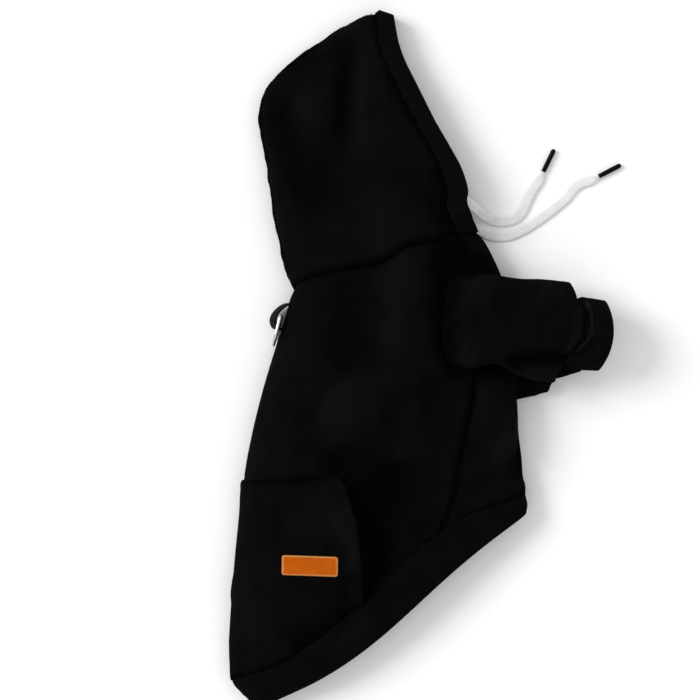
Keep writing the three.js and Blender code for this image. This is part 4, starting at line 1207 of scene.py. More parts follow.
@dataclass
class Sleeve:
    """One sleeve with its ribbed cuff."""

    side: Side
    coat: Coat
    length: float = 115.0
    width: float = 84.0
    left_loft: float = 15.0
    cuff_length: float = 25.0
    cuff_width: float = 64.0
    cuff_wall: float = 3.0
    cuff_draw: float = 0.05
    cuff_bow: float = 8.0
    tuck: float = 9.0  # how far the lower edge is pushed in beside the belly
    overhang: float = 8.0  # how far the cuff seam is drawn back at its lower end
    rib_count: int = 62
    rib_depth: float = 0.55
    rows: int = 120
    sides: int = 180
    cuff_rows: int = 26

    upper_folds = (
        Fold(((184, -60), (200, -59.5), (218, -58.5), (238, -58), (250, -56)), -5.5, 2.4, 1.4, 0.15, 1.5),
        Fold(((198, -66), (212, -72), (230, -77), (248, -72)), 3.0, 4.5, 2.0, 0.25, 1.4),
        Fold(((152, 2), (160, -4), (176, -6)), 2.2, 8.0, painted_relief_strength=1.6),
        Fold(((146, -14), (162, -20), (200, -22)), -1.6, 12.0, painted_relief_strength=0.8),
        Fold(((170, -38), (190, -36), (214, -38)), 1.6, 7.0),
        Fold(((146, -50), (156, -56), (164, -60)), 2.6, 7.0, painted_relief_strength=1.4),
        Fold(((214, 2), (226, -6), (240, -8)), 1.6, 8.0),
        Fold(((226, -34), (240, -42), (248, -48)), -1.8, 5.0),
        Fold(((250, -10), (254, -24), (250, -38), (242, -48), (240, -60)), 2.0, 2.6, 2.0, 0.15, 2.2),
    )

    def section(self, along: Array) -> dict[str, Array]:
        """Return the sleeve's sections at shares of its length from its root in the armhole."""
        right = self.side is Side.RIGHT
        across, down, turn, full = (0.592, 0.072, -5.8, 2.5) if right else (0.503, 0.213, 13.6, 3.0)
        table = SLEEVE_RIGHT_TABLE if right else SLEEVE_LEFT_TABLE
        within = np.minimum(along, 1.0)
        value = {name: column(table, "along", name, within) for name in table if name != "along"}
        base = self.left_loft + 2 * SEAM_GAP
        room = self.coat.loft - base
        if right:
            low, high = base + value["low"] * room, base + value["high"] * room
        else:
            low = value["low"] * self.coat.chest_rise
            high = value["rise"] * self.coat.chest_rise + value["loft"] * self.left_loft
        radians = math.radians(turn)
        gather = smooth(0.92, 1, along)
        return {
            "x": across * self.coat.width + math.cos(radians) * along * self.length,
            "y": -down * self.coat.length + math.sin(radians) * along * self.length,
            "turn": radians,
            "half": (value["width"] * self.width * (1 - gather) + self.cuff_width * gather) / 2,
            "low": low,
            "high": high,
            "bow": self.cuff_bow * smooth(0.6, 1, along),
            "power": 2 / full,
        }

    def ring(self, along: Array, angle: Array, inset: float, draw: Array | float = 0.0) -> Array:
        """Return points of the sleeve or cuff.

        Args:
            along: the sections, as a column.
            angle: the angles round them, as a row.
            inset: how far inside the surface the points lie.
            draw: how much narrower each section is, as a share.

        Returns:
            The points, rows by columns.
        """
        s = self.section(along)
        across, up = squared(angle, s["power"])
        wide = s["half"] * (1 - draw) - inset
        ahead = s["bow"] * (1 - across**2)
        if self.side is Side.RIGHT:
            below = smooth(0.25, 0.95, -across)
            tucked = self.tuck * np.exp(-(((along - 0.41) / 0.13) ** 2))
            wide = wide - tucked * below
            overlap = smooth(0.72, 1.0, along) * (1 - smooth(1.0, 1.2, along))
            ahead = ahead - self.overhang * smooth(0.1, 0.55, -across) * overlap
        c, n = math.cos(s["turn"]), math.sin(s["turn"])
        z = (s["low"] + s["high"]) / 2 + up * ((s["high"] - s["low"]) / 2 - inset)
        return np.stack(
            [s["x"] + c * ahead - n * across * wide, s["y"] + n * ahead + c * across * wide, z], -1
        )

    def angles(self, count: int) -> Array:
        """Return even places round a section, which the rounded corners need closer together."""
        u = around(count)
        return (u - 0.35 * np.sin(4 * u) / 4)[None, :]

    def panel(self) -> Panel:
        """Return the sleeve's cloth from its closed root to the cuff seam."""
        along = (0.012 + 0.988 * (1 - (1 - np.linspace(0, 1, self.rows + 1)) ** 1.25))[:, None]
        angle = self.angles(self.sides)
        made = Panel(
            f"sleeve_cloth_{self.side}", self.ring(along, angle, 0.0), self.ring(along, angle, CLOTH),
            start=Edge.PLAIN, loop=True, seed=83 if self.side is Side.RIGHT else 89, seam_dip=1.2, pucker=0.9,
            pucker_reach=12.0,
        )
        if self.side is Side.RIGHT:
            # Painted shade on the sleeve's steep sides near its root, over its root's end, and faintly over
            # the whole sleeve.
            steep = 1 - smooth(0.3, 0.88, made.normal[..., 2])
            made.painted_shade = np.maximum(made.painted_shade, 4.0 * steep * (1 - smooth(0.05, 0.4, along)))
            made.painted_shade = np.maximum(made.painted_shade, 1.1 * (1 - smooth(0.02, 0.16, along))) + 0.06
            made.fold(self.upper_folds)
            made.sway(0.9, 28.0, 19)
            made.sway(0.4, 13.0, 20)
        return made

    def build_sleeve(self, cloth: Panel, coat_body: Piece, finish: Material) -> Piece:
        """Make the sleeve, cut off where it meets the coat.

        Args:
            cloth: the sleeve's panel.
            coat_body: the coat as a closed body.
            finish: the cloth's material.

        Returns:
            The sleeve.
        """
        outer, inner = cloth.outer(), cloth.inner()
        rows, sides = outer.shape[:2]
        points = np.concatenate([
            outer.reshape(-1, 3), inner.reshape(-1, 3), [outer[0].mean(axis=0)], [inner[0].mean(axis=0)]
        ])
        face, both = rows * sides, 2 * rows * sides
        faces = wall_faces(rows, sides, True)
        del faces[both - 2 * sides : both - sides]  # the wall's rim at the root, where a fan closes each face
        faces += [(both, (k + 1) % sides, k) for k in range(sides)]
        faces += [(both + 1, face + k, face + (k + 1) % sides) for k in range(sides)]
        made = mesh_object(cloth.name, points, faces, finish)
        places, girth = cloth.places()
        give_uv(made, np.concatenate([places, places, np.zeros((2, 2))]), girth)
        # the attribute "crease" carries the sleeve's painted shade and highlight to its material
        give_value(made, "crease", np.concatenate([cloth.crease().ravel(), np.zeros(face + 2)]))
        cut(made, coat_body)
        return made

    def hollow(self, cloth: Panel) -> Piece:
        """Return the inside of the sleeve as a closed body, to cut its armhole."""
        return solid_object(f"armhole_cutter_{self.side}", cloth.inner())

    def cuff(self) -> Panel:
        """Return the cuff's knit, before its ribs are raised."""
        share = spread(self.cuff_rows, 0, 1, 0.6)[:, None]
        along = 1 + (share * (self.cuff_length + SEAM_GAP) - JOIN) / self.length
        angle = self.angles(self.rib_count * 6)
        draw = self.cuff_draw * share
        made = Panel(
            f"cuff_knit_{self.side}", self.ring(along, angle, 0.0, draw),
            self.ring(along, angle, self.cuff_wall, draw),
            end=Edge.FREE, loop=True, wall=self.cuff_wall - 0.3, seed=97,
            seam_dip=1.5, seam_reach=2.4, pucker=0.3,
        )
        if self.side is Side.RIGHT:
            # These folds also paint shade in the cuff's creases, and the last one paints a highlight line
            # along the cuff seam.
            made.fold((
                Fold(((240, -60), (254, -54), (268, -44)), -3.4, 3.6, 1.6, 0.2, 1.6),
                Fold(((250, -66), (262, -62), (272, -58)), 1.8, 5.0, painted_relief_strength=0.3),
                Fold(((256, -12), (262, -26), (258, -42)), -1.8, 4.0, 2.0, 0.2, 1.6),
                Fold(((266, -12), (272, -26), (268, -42)), 1.2, 4.0, painted_relief_strength=0.3),
                Fold(
                    ((256, -8), (261, -22), (261, -36), (255, -45), (249, -50), (246, -57), (246, -65)),
                    1.5, 1.3, 2.0, 0.1, 3.6, 0.4,
                ),
            ))
        return made

    def build_cuff(self, knit: Panel, finish: Material) -> Piece:
        """Make the cuff and raise its ribs."""
        made = knit.build(finish)
        rows, sides = knit.base.shape[:2]
        turn = np.broadcast_to(np.arange(sides) / sides, (rows, sides))
        from_end = np.minimum(knit.away["start"], knit.away["end"])
        proud = smooth(0.3, 2.0, from_end) * smooth(-0.75, -0.3, knit.normal[..., 2])
        give_value(made, "around", np.concatenate([turn.ravel(), turn.ravel()]))
        give_value(made, "proud", np.concatenate([proud.ravel(), np.zeros(proud.size)]))
        return apply_nodes(made, rib_tree(), {
            "Rib Count": float(self.rib_count), "Rib Depth": self.rib_depth * MM, "Knit": finish,
        })


# Leash loop and ring


@dataclass
class LeashPoint:
    """The webbing loop at the nape and the D-ring that swings in it."""

    ring_width: float = 26.0
    ring_reach: float = 28.0
    wire: float = 3.0
    strap_thickness: float = 1.8
    strap_lean: float = 0.3
    clearance: float = 0.6
    bar: tuple[float, float] = (-9.698, -21.008)
    ring_turn: float = 255.5  # degrees
    strap_route: tuple[tuple[float, float], ...] = (
        (0.308, -0.462), (-0.115, -0.404), (-0.423, -0.577), (-0.6, -0.808), (-0.638, -1.0), (-0.558, -1.192),
        (-0.308, -1.288), (0.231, -1.308),
    )

    def build_strap(self, coat_body: Piece, finish: Material) -> Piece:
        """Make the webbing, bent round the ring's bar and cut off at the back fold."""
        points = np.array([(x * self.ring_width, y * self.ring_width, 0.0) for x, y in self.strap_route])
        middle = route_through(points, 90)
        width = self.ring_width - 2 * self.wire - 2 * self.clearance
        ahead = unit(np.gradient(middle, axis=0))
        side = np.stack([-ahead[:, 1], ahead[:, 0], np.zeros(len(ahead))], -1)
        edge = 0.75  # how wide its rounded edges are
        across = np.concatenate([np.linspace(-1, 1, 25), np.linspace(1, -1, 25)])
        face = np.concatenate([np.ones(25), -np.ones(25)])
        past = np.maximum(np.abs(across) * width / 2 - width / 2 + edge, 0)
        thick = self.strap_thickness / 2 * np.sqrt(np.maximum(1 - past**2 / edge**2, 0.06))
        rings = middle[:, None] + side[:, None] * (face * thick)[None, :, None]
        rings[..., 2] += across * width / 2
        rings[..., 0] += self.strap_lean * rings[..., 2]
        rings[..., 2] += EDGE_HEIGHT
        run = np.linspace(0, length_of(middle), len(middle))
        made = solid_object("leash_webbing", rings, finish)
        give_uv(made, tube_places(across * width / 2, run, ((0, 0), (0, 0))))
        cut(made, coat_body)
        return made

    def build_ring(self, finish: Material) -> Piece:
        """Make the D-ring: a straight upright bar, two arms and a round bow."""
        radius = self.wire / 2
        rise = self.ring_width / 2 - radius
        arm = self.ring_reach - radius - rise
        corner = self.wire
        bend = np.linspace(0, 1, 9)[1:, None]
        bow = np.linspace(np.pi / 2, -np.pi / 2, 36)

        def at(x: float, y: float) -> Array:
            """Return one place on the ring's middle line."""
            return np.array([x, y], float)

        def curve(a: Array, b: Array, c: Array) -> Array:
            """Return a round corner from a to c that bends towards b."""
            return (1 - bend) ** 2 * a + 2 * bend * (1 - bend) * b + bend**2 * c

        path = np.concatenate([
            np.linspace(at(0, -rise + corner), at(0, rise - corner), 16),
            curve(at(0, rise - corner), at(0, rise), at(corner, rise)),
            np.linspace(at(corner, rise), at(arm, rise), 7)[1:],
            np.stack([arm + rise * np.cos(bow), rise * np.sin(bow)], -1)[1:],
            np.linspace(at(arm, -rise), at(corner, -rise), 7)[1:],
            curve(at(corner, -rise), at(0, -rise), at(0, -rise + corner))[:-1],
        ])
        ahead = unit(np.roll(path, -1, axis=0) - np.roll(path, 1, axis=0))
        angle = around(22)[None, :]
        out = radius * np.cos(angle)
        x = path[:, :1] + ahead[:, 1:] * out
        y = radius * np.sin(angle) * np.ones_like(x)
        z = path[:, 1:] - ahead[:, :1] * out
        turn = math.radians(self.ring_turn)
        points = np.stack([
            self.bar[0] + math.cos(turn) * x - math.sin(turn) * y,
            self.bar[1] + math.sin(turn) * x + math.cos(turn) * y,
            EDGE_HEIGHT + z,
        ], -1)
        return mesh_object(
            "leash_d_ring", points.reshape(-1, 3), tube_faces(*points.shape[:2], closed=True), finish
        )


# The drawstring

CORD_RIGHT_TABLE = {
    "across": (0.843, 0.875, 0.907, 0.9448, 0.9826, 1.0203, 1.064, 1.1076, 1.1453, 1.1744, 1.1953, 1.2116,
               1.2326, 1.2587, 1.2791, 1.2907),
    "up": (0.4826, 0.468, 0.4477, 0.4215, 0.3924, 0.3738, 0.3622, 0.364, 0.3756, 0.4029, 0.4419, 0.4826,
           0.5233, 0.561, 0.5959, 0.6192),
    "rise": (1, 1, 0.925, 0.65, 0.275, 0.055, 0, 0, 0, 0, 0.005, 0.01, 0.02, 0.025, 0.03, 0.03),
}
CORD_LEFT_TABLE = {
    "across": (0.875, 0.9128, 0.9506, 0.9797, 1.0087, 1.0494, 1.1047, 1.1453, 1.1831, 1.2209, 1.2674, 1.3198,
               1.3663, 1.407, 1.4477, 1.4826, 1.5203, 1.5581, 1.5756),
    "up": (0.3477, 0.336, 0.3244, 0.3093, 0.2942, 0.286, 0.2895, 0.3012, 0.3186, 0.3395, 0.3721, 0.4105,
           0.4477, 0.4826, 0.5349, 0.5605, 0.5733, 0.5872, 0.5959),
    "rise": (1, 1, 0.963, 0.333, 0, 0, 0, 0, 0, 0, 0, 0, 0, 0.037, 0.074, 0.148, 0.222, 0.222, 0.222),
}


@dataclass
class Drawstring:
    """One end of the hood's flat braided drawstring, with its aglet."""

    side: Side
    hood: Hood
    width: float = 8.4
    thickness: float = 2.6
    plait_rise: float = 0.16  # how far its strands stand out
    plait_pitch: float = 3.2
    plait_slant: float = 5.0  # how far they run on from its middle to its edges, in radians
    aglet_length: float = 22.0
    aglet_diameter: float = 4.2
    steps: int = 200
    sides: int = 36

    def route(self, steps: int) -> Array:
        """Return places on the cord's middle line, from inside its channel to its aglet."""
        right = self.side is Side.RIGHT
        table = CORD_RIGHT_TABLE if right else CORD_LEFT_TABLE
        floor = self.thickness / 2 + FLOOR_GAP
        channel = self.hood.casing_thickness * (2.5 if right else 0.5) + (SEAM_GAP if right else 0.0)
        x, y = np.array(table["across"]) * self.hood.depth, np.array(table["up"]) * self.hood.depth
        z = floor + (channel - floor) * np.array(table["rise"])
        return route_through(np.stack([x, y, z], -1), steps)

    def build_cord(self, finish: Material) -> Piece:
        """Make the flat cord, a little uneven and pinched into its aglet."""
        middle = self.route(self.steps)
        ahead = unit(np.gradient(middle, axis=0))
        over = unit(np.stack([-ahead[:, 1], ahead[:, 0], np.zeros(len(ahead))], -1))
        up = np.cross(ahead, over)
        run = np.linspace(0, length_of(middle), len(middle))
        pinch = 1 - smooth(1.0, 9.0, run[-1] - run)
        wide = self.width / 2 * (1 - 0.54 * pinch) * (
            1 + 0.03 * np.sin(run / 6.0) + 0.02 * np.sin(run / 2.3 + 1)
        )
        tall = self.thickness / 2 * (1 + 0.3 * pinch)
        across, rise = squared(around(self.sides), 0.7)
        phase = run[:, None] * 2 * np.pi / self.plait_pitch + np.abs(across)[None, :] * self.plait_slant
        plait = self.plait_rise * np.sin(phase) * np.abs(rise)[None, :]
        rings = (
            middle[:, None]
            + over[:, None] * (wide[:, None] * across)[..., None]
            + up[:, None] * ((tall[:, None] - self.plait_rise + plait) * rise)[..., None]
        )
        rings[..., 2] = np.maximum(rings[..., 2], 0.05)
        made = solid_object(f"cord_{self.side}", rings, finish)
        give_uv(made, tube_places(across * self.width / 2, run, ((0, 0), (0, run[-1]))))
        return made

    def build_aglet(self, finish: Material) -> Piece:
        """Make the aglet: a crimped tube with a rounded tip, lying on the floor."""
        route = self.route(self.steps)
        ahead = route[-1] - route[-4]
        way = unit(np.array([ahead[0], ahead[1], 0.0]))
        over = np.array([-way[1], way[0], 0.0])
        radius = self.aglet_diameter / 2
        start = np.array([route[-1][0], route[-1][1], radius]) + way * SEAM_GAP
        tip = self.aglet_length - 2.4
        profile = [
            (0.0, 0.7), (0.15, 0.93), (0.5, 1.0), (1.6, 1.0), (1.9, 0.9), (2.4, 0.88), (2.9, 0.9), (3.2, 1.0),
        ]
        profile += [(x, 1.0) for x in np.linspace(4.5, tip, 8)]
        profile += [(tip + 2.3 * math.sin(a), 0.25 + 0.75 * math.cos(a)) for a in np.linspace(0.15, 1.45, 9)]
        angle = around(30)[:, None]
        section = over * np.cos(angle) + np.array([0, 0, 1.0]) * np.sin(angle)
        rings = np.array([start + way * x + radius * r * section for x, r in profile])
        return solid_object(f"aglet_{self.side}_tip", rings, finish)

    def hole(self) -> Piece:
        """Return the body that cuts the cord's way out of its casing."""
        first, second = self.route(self.steps)[0], self.route(self.steps)[12]
        way = unit(second - first)
        over = unit(np.array([-way[1], way[0], 0.0]))
        up = np.cross(way, over)
        across, rise = squared(around(28)[:, None], 0.5)
        room = 0.4
        section = over * across * (self.width / 2 + room) + up * rise * (self.thickness / 2 + room)
        rings = np.stack([first + way * reach + section for reach in (0.0, 5.0, 10.0, 15.0)])
        return solid_object(f"cord_hole_cutter_{self.side}", rings)

    def declare(self, cord: Piece, tip: Piece) -> None:
        """Work out the cord's route, which nothing uses."""
        route = self.route(60)


# Trees of geometry nodes


def apply_nodes(piece: Piece, tree: NodeTree, sizes: dict[str, object]) -> Piece:
    """Run a tree of geometry nodes on a piece and keep its result as the piece's mesh.

    Args:
        piece: the piece.
        tree: the tree.
        sizes: the values of its named inputs.

    Returns:
        The piece, with no modifier left.
    """
    modifier = piece.modifiers.new(tree.name, "NODES")
    modifier.node_group = tree
    for item in tree.interface.items_tree:
        if item.item_type == "SOCKET" and item.in_out == "INPUT" and item.name in sizes:
            modifier[item.identifier] = sizes[item.name]
    keep_result(piece, modifier)
    return piece


class Tree:
    """A node tree that is written as a few plain calls."""

    def __init__(self, tree: NodeTree) -> None:
        """Keep the tree."""
        self.tree = tree

    def add(self, kind: str, inputs: dict | None = None, **settings: object) -> bpy.types.Node:
        """Add a node.

        Args:
            kind: the node's type.
            inputs: for a socket's name or number, a value, or the output that feeds it.
            settings: the node's own settings.

        Returns:
            The node.
        """
        node = self.tree.nodes.new(kind)
        for name, value in settings.items():
            setattr(node, name, value)
        self.feed(node, inputs or {})
        return node

    def feed(self, node: bpy.types.Node, inputs: dict) -> None:
        """Give a node's inputs a value each, or the output that feeds them."""
        for name, value in inputs.items():
            socket = node.inputs[name]
            if isinstance(value, Socket):
                self.tree.links.new(value, socket)
            else:
                socket.default_value = (*value, 1.0) if isinstance(value, tuple) else value

    def math(self, operation: str, *values: object) -> Socket:
        """Return the result of a sum on numbers or outputs."""
        return self.add("ShaderNodeMath", dict(enumerate(values)), operation=operation).outputs[0]

    def line(self, value: object, factor: object, plus: object) -> Socket:
        """Return a value times a factor, plus something."""
        return self.math("MULTIPLY_ADD", value, factor, plus)

    def blend(self, share: object, first: object, second: object) -> Socket:
        """Return a colour between two, by a share that changes over the surface."""
        inputs = {0: share, 6: first, 7: second}
        return self.add("ShaderNodeMix", inputs, data_type="RGBA", clamp_factor=True).outputs[2]

    def read(self, name: str) -> Socket:
        """Return what a shader reads from an attribute of the mesh."""
        return self.add("ShaderNodeAttribute", attribute_name=name).outputs["Fac"]

    def nap(self, **sizes: float) -> bpy.types.bpy_prop_collection:
        """Return the outputs of the group for brushed fibres, with some of its sizes changed."""
        inputs = {name.replace("_", " "): value for name, value in sizes.items()}
        return self.add("ShaderNodeGroup", inputs, node_tree=nap_group()).outputs

    def bump(self, height: Socket, distance: float, strength: float) -> Socket:
        """Return the normal over a height."""
        return self.add(
            "ShaderNodeBump", {"Height": height, "Distance": distance, "Strength": strength}
        ).outputs[0]


def new_group(
    name: str, kind: str, inputs: dict[str, str | float], outputs: Sequence[str], gives: str
) -> tuple[Tree, bpy.types.bpy_prop_collection]:
    """Start a node group.

    Args:
        name: its name.
        kind: the kind of tree.
        inputs: its named inputs, each with its kind of socket or, for a number, its usual value.
        outputs: the names of its outputs.
        gives: the kind of socket of its outputs.

    Returns:
        The tree, and its inputs' values to link from.
    """
    group = bpy.data.node_groups.new(name, kind)
    for label, value in inputs.items():
        number = isinstance(value, float)
        made = group.interface.new_socket(
            label, in_out="INPUT", socket_type="NodeSocketFloat" if number else value
        )
        if number:
            made.default_value = value
    for label in outputs:
        group.interface.new_socket(label, in_out="OUTPUT", socket_type=gives)
    tree = Tree(group)
    return tree, tree.add("NodeGroupInput").outputs


def dress(tree: Tree, geometry: Socket, finish: Socket) -> NodeTree:
    """End a tree of geometry nodes by making its instances real and giving them their material."""
    real = tree.add("GeometryNodeRealizeInstances", {"Geometry": geometry})
    dressed = tree.add("GeometryNodeSetMaterial", {"Geometry": real.outputs[0], "Material": finish})
    tree.add("NodeGroupOutput", {"Geometry": dressed.outputs[0]})
    return tree.tree


@cache
def rib_tree() -> NodeTree:
    """Return the tree that raises a knit's ribs along its "around" attribute."""
    tree, given = new_group(
        "rib knit", "GeometryNodeTree",
        {"Geometry": GEOMETRY, "Rib Count": 0.0, "Rib Depth": 0.0, "Knit": "NodeSocketMaterial"},
        ("Geometry",), GEOMETRY,
    )
    around = tree.add("GeometryNodeInputNamedAttribute", {"Name": "around"}).outputs["Attribute"]
    proud = tree.add("GeometryNodeInputNamedAttribute", {"Name": "proud"}).outputs["Attribute"]
    turn = tree.math("MULTIPLY", tree.math("MULTIPLY", around, given["Rib Count"]), 2 * math.pi)
    wave = tree.math("COSINE", turn)
    crest = tree.math("SUBTRACT", tree.math("POWER", tree.line(wave, 0.5, 0.5), 0.6), 0.75)
    height = tree.math("MULTIPLY", tree.math("MULTIPLY", crest, given["Rib Depth"]), proud)
    normal = tree.add("GeometryNodeInputNormal").outputs["Normal"]
    offset = tree.add(
        "ShaderNodeVectorMath", {"Vector": normal, "Scale": height}, operation="SCALE"
    ).outputs["Vector"]
    moved = tree.add("GeometryNodeSetPosition", {"Geometry": given["Geometry"], "Offset": offset})
    return dress(tree, moved.outputs[0], given["Knit"])


def stitch_tree() -> NodeTree:
    """Return the tree that lays thread stitches along lines."""
    tree, given = new_group(
        "thread stitches", "GeometryNodeTree",
        {
            "Geometry": GEOMETRY, "Pitch": 0.0, "Stitch Length": 0.0, "Thread": 0.0, "Seed": "NodeSocketInt",
            "Thread Finish": "NodeSocketMaterial",
        },
        ("Geometry",), GEOMETRY,
    )
    curve = tree.add("GeometryNodeMeshToCurve", {"Mesh": given["Geometry"]})
    points = tree.add(
        "GeometryNodeCurveToPoints", {"Curve": curve.outputs[0], "Length": given["Pitch"]}, mode="LENGTH"
    )
    uneven = tree.add("FunctionNodeRandomValue", {2: 0.9, 3: 1.08, "Seed": given["Seed"]}, data_type="FLOAT")
    length = tree.math("MULTIPLY", given["Stitch Length"], uneven.outputs[1])
    size = tree.add("ShaderNodeCombineXYZ", {"X": length, "Y": given["Thread"], "Z": given["Thread"]})
    turned = tree.add("FunctionNodeAlignRotationToVector", {"Vector": points.outputs["Tangent"]}, axis="X")
    thread = tree.add("GeometryNodeMeshUVSphere", {"Segments": 6, "Rings": 4, "Radius": 0.5})
    placed = tree.add("GeometryNodeInstanceOnPoints", {
        "Points": points.outputs["Points"], "Instance": thread.outputs["Mesh"], "Rotation": turned.outputs[0],
        "Scale": size.outputs[0],
    })
    return dress(tree, placed.outputs[0], given["Thread Finish"])


@dataclass
class StitchWork:
    """Rows of machine stitches that run beside the seams."""

    pitch: float = 3.1
    stitch: float = 2.5
    thread: float = 0.42
    sunk: float = 0.06

    def __post_init__(self) -> None:
        """Start with no rows."""
        self.rows: list[Array] = []

    def along(
        self, panel: Panel, edge: str, distance: float, least_up: float = 0.05,
        box: tuple[float, float, float, float] = (-1e3, -1e3, 1e3, 1e3),
    ) -> None:
        """Add a row beside a panel's edge, where it shows.

        Args:
            panel: the panel.
            edge: start, end, left or right.
            distance: how far from the edge the row runs.
            least_up: how far the cloth faces up where there is still a row.
            box: the least and greatest X and Y of the row: x0, y0, x1, y1.
        """
        points, up = panel.line(edge, distance, self.thread / 2 - self.sunk)
        low, high = np.array(box).reshape(2, 2)
        kept = (up > least_up) & np.all((points[:, :2] > low) & (points[:, :2] < high), axis=1)
        breaks = np.flatnonzero(np.diff(kept.astype(int))) + 1
        for part, shown in zip(np.split(points, breaks), np.split(kept, breaks)):
            if shown[0] and len(part) > 3:
                self.rows.append(part)

    def build(self, name: str, finish: Material) -> Piece:
        """Lay the stitches of all rows and forget the rows.

        Args:
            name: the piece's name.
            finish: the thread's material.

        Returns:
            The stitches as one piece.
        """
        mesh = bpy.data.meshes.new(name)
        edges, start = [], 0
        for row in self.rows:
            edges += [(start + k, start + k + 1) for k in range(len(row) - 1)]
            start += len(row)
        mesh.from_pydata(((np.concatenate(self.rows) + NAPE) * MM).tolist(), edges, [])
        self.rows = []
        return apply_nodes(place_object(name, mesh), stitch_tree(), {
            "Pitch": self.pitch * MM, "Stitch Length": self.stitch * MM, "Thread": self.thread * MM,
            "Seed": 5, "Thread Finish": finish,
        })


# Finishes


def new_material(name: str) -> tuple[Tree, bpy.types.Node, Material]:
    """Start a material.

    Args:
        name: its name.

    Returns:
        Its tree, its Principled shader and the material.
    """
    made = bpy.data.materials.new(name)
    made.use_nodes = True
    return Tree(made.node_tree), made.node_tree.nodes["Principled BSDF"], made


@cache
def nap_group() -> NodeTree:
    """Return the group for brushed fibres and the soft blotches that handling leaves in them."""
    tree, given = new_group(
        "brushed nap", "ShaderNodeTree", {"Fibre Scale": 1500.0, "Blotch Scale": 60.0, "Streak": 2.0},
        ("Fibre", "Blotch", "Fluff"), "NodeSocketFloat",
    )
    place = tree.add("ShaderNodeTexCoord").outputs["Object"]
    stretch = tree.add("ShaderNodeCombineXYZ", {"X": 1.0, "Y": given["Streak"], "Z": 1.0}).outputs[0]
    swept = tree.add("ShaderNodeVectorMath", {0: place, 1: stretch}, operation="MULTIPLY").outputs[0]
    noises = {
        "Fibre": {
            "Vector": swept, "Scale": given["Fibre Scale"],
            "Detail": 4.0, "Roughness": 0.65, "Distortion": 0.6,
        },
        "Blotch": {"Vector": place, "Scale": given["Blotch Scale"], "Detail": 3.0, "Roughness": 0.55},
        "Fluff": {
            "Vector": place, "Scale": tree.math("MULTIPLY", given["Fibre Scale"], 0.22), "Detail": 2.0,
            "Roughness": 0.5,
        },
    }
    made = {name: tree.add("ShaderNodeTexNoise", inputs).outputs[0] for name, inputs in noises.items()}
    tree.add("NodeGroupOutput", made)
    return tree.tree


@cache
def chevron_group() -> NodeTree:
    """Return the group for columns of slanting strands, as knits, plaits and webbing have, with a mask for
    painted shade in the valleys between them.
    """
    tree, given = new_group(
        "chevron strands", "ShaderNodeTree", {"Column": 0.0014, "Row": 0.002, "Slant": 0.7},
        ("Height", "Valley Shade"), "NodeSocketFloat",
    )
    place = tree.add("ShaderNodeUVMap", uv_map="Cloth").outputs["UV"]
    split = tree.add("ShaderNodeSeparateXYZ", {0: place}).outputs
    across = tree.math("DIVIDE", split[0], given["Column"])
    within = tree.math("FRACT", across)
    odd = tree.math("FLOORED_MODULO", tree.math("FLOOR", across), 2.0)
    lean = tree.math("MULTIPLY", tree.line(odd, 2.0, -1.0), given["Slant"])
    phase = tree.line(within, lean, tree.math("DIVIDE", split[1], given["Row"]))
    strand = tree.math("ABSOLUTE", tree.math("SINE", tree.math("MULTIPLY", phase, math.pi)))
    centred = tree.line(within, 2.0, -1.0)
    dome = tree.math("SQRT", tree.math("SUBTRACT", 1.0, tree.math("MULTIPLY", centred, centred)))
    height = tree.math("MULTIPLY", tree.math("POWER", strand, 0.6), dome)
    # where shade is painted between the strands
    valley_shade_mask = tree.math("SUBTRACT", 1.0, tree.math("SMOOTH_MIN", tree.math("MULTIPLY", height, 1.6), 1.0, 0.3))
    tree.add("NodeGroupOutput", {"Height": height, "Valley Shade": valley_shade_mask})
    return tree.tree


@dataclass(frozen=True)
class FleeceFinish:
    """Brushed sweatshirt cloth."""

    name: str = "black fleece"
    # ground is the darker fibres' colour and that of painted shade; the paler colour is also that of painted
    # highlight
    ground: Triple = (0.0004, 0.0004, 0.0005)
    brushed_and_painted_light: Triple = (0.0034, 0.00335, 0.0034)
    nap: float = 0.0005
    sheen: float = 0.005

    def make(self) -> Material:
        """Return the material, with painted shade in creases and seams and a painted highlight on ridges, read
        from the attribute "crease".
        """
        tree, shader, made = new_material(self.name)
        nap = tree.nap()
        share = tree.line(nap["Fibre"], 0.8, tree.math("MULTIPLY", nap["Blotch"], 0.35))
        share = tree.line(share, 1.5, -0.27)
        height = tree.line(nap["Fluff"], 0.7, tree.math("MULTIPLY", nap["Fibre"], 0.5))
        # The attribute "crease" pulls the colour towards ground as painted shade and towards the paler colour
        # as painted highlight.
        tree.feed(shader, {
            "Base Color": tree.blend(
                tree.line(tree.read("crease"), -0.56, share), self.ground, self.brushed_and_painted_light
            ),
            "Roughness": tree.line(nap["Fluff"], 0.12, 0.86),
            "Normal": tree.bump(height, self.nap, 0.8),
            "Specular IOR Level": 0.02, "Sheen Weight": self.sheen, "Sheen Roughness": 0.55,
        })
        return made


